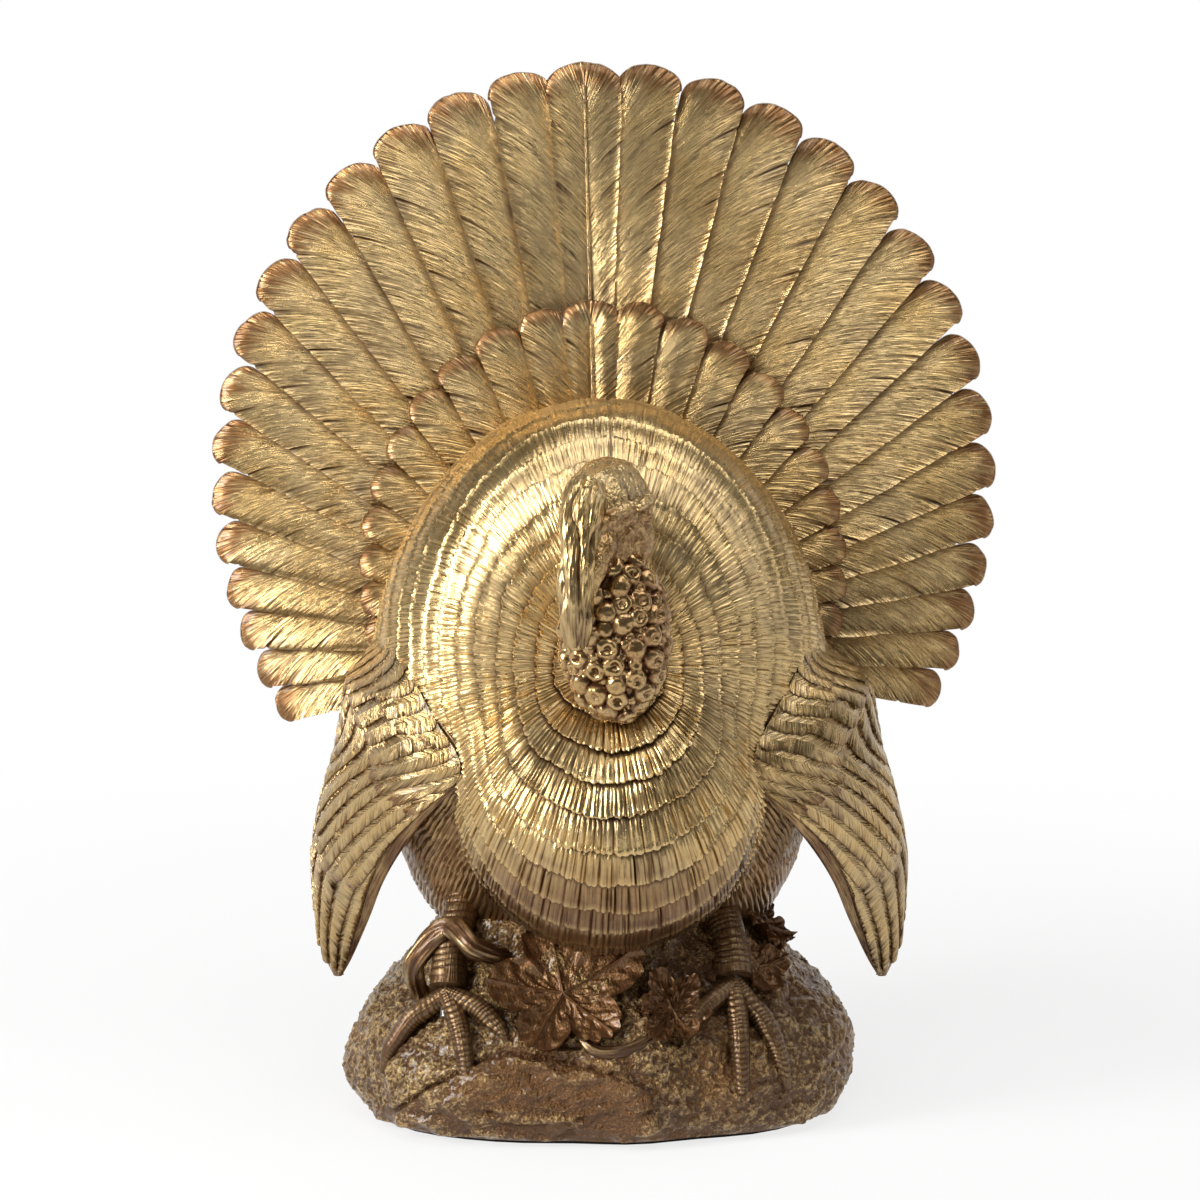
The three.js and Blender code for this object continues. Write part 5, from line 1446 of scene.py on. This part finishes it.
class TURKEY_OT_tail_coverts(bpy.types.Operator):
    """Makes the ring of short feathers in front of the fan"""

    bl_idname = "turkey.tail_coverts"
    bl_label = "Tail coverts"

    def execute(self, context):
        rng = np.random.default_rng(SEEDS["coverts"])
        half = COVERTS.count // 2
        parts = [part for index in range(-half, half + 1) for part in feather(COVERTS, index, rng)]
        make_piece("coverts", parts, finish("gold_tail"), "gilt", "tail_coverts")
        return {"FINISHED"}


class TURKEY_OT_body(bpy.types.Operator):
    """Makes the body with its rows of small square feathers and its hairy thighs"""

    bl_idname = "turkey.body"
    bl_label = "Body"

    def execute(self, context):
        sizes = context.scene.turkey_sizes
        for name, first, last in zip(("front", "middle", "rear"), BODY_SPLIT_ROWS, BODY_SPLIT_ROWS[1:]):
            part = feather_rows(BODY, first, last, sizes)
            make_piece(f"body_{name}", [part], finish("gold_leaf"), "gilt", "body")
        return {"FINISHED"}


class TURKEY_OT_rump(bpy.types.Operator):
    """Makes the rear of the bird under the fan"""

    bl_idname = "turkey.rump"
    bl_label = "Rump"

    def execute(self, context):
        part = feather_rows(REAR, 0, REAR.rows, context.scene.turkey_sizes)
        make_piece("rump_feathers", [part], finish("gold_leaf"), "gilt", "rump")
        return {"FINISHED"}


class TURKEY_OT_wings(bpy.types.Operator):
    """Makes both wings"""

    bl_idname = "turkey.wings"
    bl_label = "Wings"

    def execute(self, context):
        for side, hand in ((-1, "left"), (1, "right")):
            parts = wing_parts(side, np.random.default_rng(SEEDS["wings"] + side))
            make_piece(f"wing_{hand}_feathers", parts, finish("gold_wing"), "gilt", f"wing_{hand}")
        return {"FINISHED"}


class TURKEY_OT_head(bpy.types.Operator):
    """Makes the head, the snood over the beak and the caruncled wattle"""

    bl_idname = "turkey.head"
    bl_label = "Head"

    def execute(self, context):
        bump_radius = context.scene.turkey_sizes.caruncle_radius / MM
        head = skin(head_parts(), voxel=0.55, smoothing=5, relief=head_relief,
                    deep=0.9, brown=0.15, rust=head_rust)
        make_piece("head_skin", [head], finish("gold_leaf"), "gilt", "head")
        make_piece("snood_flap", [snood_part()], finish("gold_leaf"), "gilt", "snood")
        wattle = wattle_part(bump_radius, np.random.default_rng(SEEDS["wattle"]))
        make_piece("wattle_caruncles", [wattle], finish("gold_wattle"), "gilt_brown", "wattle")
        return {"FINISHED"}


class TURKEY_OT_rock(bpy.types.Operator):
    """Makes the gritty rock base with its smooth boulder"""

    bl_idname = "turkey.rock"
    bl_label = "Rock"

    def execute(self, context):
        part = rock_part(context.scene.turkey_sizes.rock_grit / MM)
        make_piece("rock", [part], finish("gold_rock"), "rock_gilt", "rock_base")
        return {"FINISHED"}


class TURKEY_OT_legs(bpy.types.Operator):
    """Makes the ringed legs and toes"""

    bl_idname = "turkey.legs"
    bl_label = "Legs"

    def execute(self, context):
        for side, hand in ((-1, "left"), (1, "right")):
            parts = leg_parts(side)
            make_piece(f"leg_{hand}_scales", parts, finish("gold_brown"), "gilt_brown", f"leg_{hand}")
        return {"FINISHED"}


class TURKEY_OT_foliage(bpy.types.Operator):
    """Makes the leaves, the vine over the foot and the tendril"""

    bl_idname = "turkey.foliage"
    bl_label = "Leaves and vines"

    def execute(self, context):
        for seed, (name, (place, radius, lobes, turn)) in enumerate(LEAVES.items()):
            part = leaf_part(place, radius, lobes, turn, np.random.default_rng(seed))
            make_piece(f"{name}_blade", [part], finish("gold_brown"), "gilt_brown", name)
        make_piece("vine_over_foot", [vine_arch_part()], finish("gold_brown"), "gilt_brown", "vine_arch")
        make_piece("tendril", [tendril_part()], finish("gold_brown"), "gilt_brown", "vine_tendril")
        return {"FINISHED"}


class TURKEY_OT_hardware(bpy.types.Operator):
    """Gives the felt sheet and the steel pins their finish"""

    bl_idname = "turkey.hardware"
    bl_label = "Felt and pins"

    def execute(self, context):
        colours = context.scene.turkey_colours
        felt = plain_finish("felt", colours.felt, 0.0, 0.95, 2600.0, 0.4)
        steel = plain_finish("pin_steel", colours.steel, 1.0, 0.32, 900.0, 0.01)
        for name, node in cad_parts.items():
            if "pin" in name or name == "felt_sheet":
                node.data.materials.clear()
                node.data.materials.append(felt if name == "felt_sheet" else steel)
        return {"FINISHED"}


def aimed(thing, place, target):
    """Puts a lamp or a camera in its place and turns it to what it looks at."""
    thing.location = place
    thing.rotation_euler = (Vector(target) - Vector(place)).to_track_quat("-Z", "Y").to_euler()


def soft_light(name, place, size, power, target):
    """A rectangular lamp that shines on the target."""
    bpy.ops.object.light_add(type="AREA")
    lamp = bpy.context.object
    lamp.name = name
    lamp.data.shape = "RECTANGLE"
    lamp.data.size, lamp.data.size_y = size
    lamp.data.energy = power
    aimed(lamp, place, target)


# Stage, in metres: the white floor and wall, then the lights, each with its place and its size
COVE_NEAR, COVE_FAR, COVE_HALF_WIDTH, COVE_HEIGHT, COVE_RADIUS = -6.0, 2.2, 4.0, 2.6, 0.8
FLOOR_SHINE_SHARE = 0.78  # how much of the floor's white needs no light where the shadows fall
WHITE_FROM, WHITE_AT = 0.2, 0.7  # distance from the figure where the floor turns all white
DARK_FROM, DARK_AT = -0.7, -1.5  # places towards the camera where the floor's own white fades
LIGHTS = {
    "key": ((-1.5, -0.85, 0.9), (0.6, 1.1)),
    "fill": ((1.6, -0.35, 1.0), (0.7, 1.3)),
    "overhead": ((0.15, -0.32, 1.6), (1.3, 1.0)),
}


def white_cove():
    """A floor that curves up into a wall behind the figure."""
    turn = np.linspace(0, math.pi / 2, 24)
    bend = np.stack([np.sin(turn), 1 - np.cos(turn)], -1) * COVE_RADIUS + [COVE_FAR - COVE_RADIUS, 0]
    line = np.concatenate([[(COVE_NEAR, 0)], bend, [(COVE_FAR, COVE_HEIGHT)]])
    points = [(x, y, z) for y, z in line for x in (-COVE_HALF_WIDTH, COVE_HALF_WIDTH)]
    faces = [(2 * i, 2 * i + 1, 2 * i + 3, 2 * i + 2) for i in range(len(line) - 1)]
    mesh = bpy.data.meshes.new("cove")
    mesh.from_pydata(points, [], faces)
    mesh.shade_smooth()
    cove = bpy.data.objects.new("cove", mesh)
    bpy.context.scene.collection.objects.link(cove)
    return cove


def floor_white():
    """White that shows to the camera and in mirrors without light, and takes soft shadows."""
    material, recipe = new_recipe("floor_white")
    path = "ShaderNodeLightPath"
    seen = (recipe.add(path, {}, {}, "Is Camera Ray") + recipe.add(path, {}, {}, "Is Glossy Ray")
            + recipe.add(path, {}, {}, "Is Transmission Ray")).clipped()
    matte = recipe.add("ShaderNodeBsdfDiffuse", {}, {"Color": (0.9, 0.9, 0.9, 1.0)})
    shine = recipe.add("ShaderNodeEmission", {}, {"Strength": 1.0})
    place = recipe.place()
    distance = recipe.add("ShaderNodeVectorMath", {"operation": "LENGTH"}, {0: place}, "Value")
    behind = recipe.add("ShaderNodeSeparateXYZ", {}, {"Vector": place}, "Y")
    share = distance.ramp(WHITE_FROM, WHITE_AT) * (1 - FLOOR_SHINE_SHARE) + FLOOR_SHINE_SHARE
    share = share * behind.ramp(DARK_AT, DARK_FROM)
    both = recipe.add("ShaderNodeMixShader", {}, {0: seen * share, 1: matte, 2: shine})
    recipe.surface(both)
    return material


class TURKEY_OT_stage(bpy.types.Operator):
    """Makes the floor, the lights and the camera"""

    bl_idname = "turkey.stage"
    bl_label = "Stage"

    def execute(self, context):
        stage = context.scene.turkey_stage
        middle = (0.0, 0.0, stage.aim_height)
        floor = white_cove()
        floor.data.materials.append(floor_white())
        for name, (place, size) in LIGHTS.items():
            soft_light(name, place, size, getattr(stage, name + "_power"), middle)
        world = bpy.data.worlds.new("studio")
        world.use_nodes = True
        recipe = Recipe(world.node_tree)
        sky = recipe.add("ShaderNodeBackground", {}, {"Strength": stage.world_strength})
        recipe.add("ShaderNodeOutputWorld", {}, {"Surface": sky})
        context.scene.world = world
        context.scene.view_settings.view_transform = "Standard"
        bpy.ops.object.camera_add()
        camera = context.object
        camera.name = "camera"
        camera.data.lens = stage.lens
        away = Vector((0.0, -math.cos(stage.elevation), math.sin(stage.elevation))) * stage.distance
        aimed(camera, Vector(middle) + away, middle)
        context.scene.camera = camera
        return {"FINISHED"}


OPERATORS = (
    TURKEY_OT_stage, TURKEY_OT_tail_fan, TURKEY_OT_tail_coverts, TURKEY_OT_body, TURKEY_OT_rump,
    TURKEY_OT_wings, TURKEY_OT_head, TURKEY_OT_rock, TURKEY_OT_legs, TURKEY_OT_foliage, TURKEY_OT_hardware,
)


class TURKEY_PT_panel(bpy.types.Panel):
    """Lists the pieces and their settings"""

    bl_idname = "TURKEY_PT_panel"
    bl_label = "Turkey figure"
    bl_space_type = "VIEW_3D"
    bl_region_type = "UI"
    bl_category = "Turkey"

    def draw(self, context):
        for group in SETTINGS:
            settings = getattr(context.scene, group)
            for name in settings.__annotations__:
                self.layout.prop(settings, name)
        for operator in OPERATORS:
            self.layout.operator(operator.bl_idname)


SETTINGS = {"turkey_sizes": TurkeySizes, "turkey_colours": TurkeyColours, "turkey_stage": TurkeyStage}
CLASSES = (*SETTINGS.values(), *OPERATORS, TURKEY_PT_panel)


def register():
    for made in CLASSES:
        bpy.utils.register_class(made)
    for name, group in SETTINGS.items():
        setattr(bpy.types.Scene, name, bpy.props.PointerProperty(type=group))


def unregister():
    for name in SETTINGS:
        delattr(bpy.types.Scene, name)
    for made in reversed(CLASSES):
        bpy.utils.unregister_class(made)


def main():
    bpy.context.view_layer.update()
    register()
    for operator in OPERATORS:
        name = operator.bl_idname.split(".")[1]
        getattr(bpy.ops.turkey, name)()


if __name__ == "__main__":
    main()
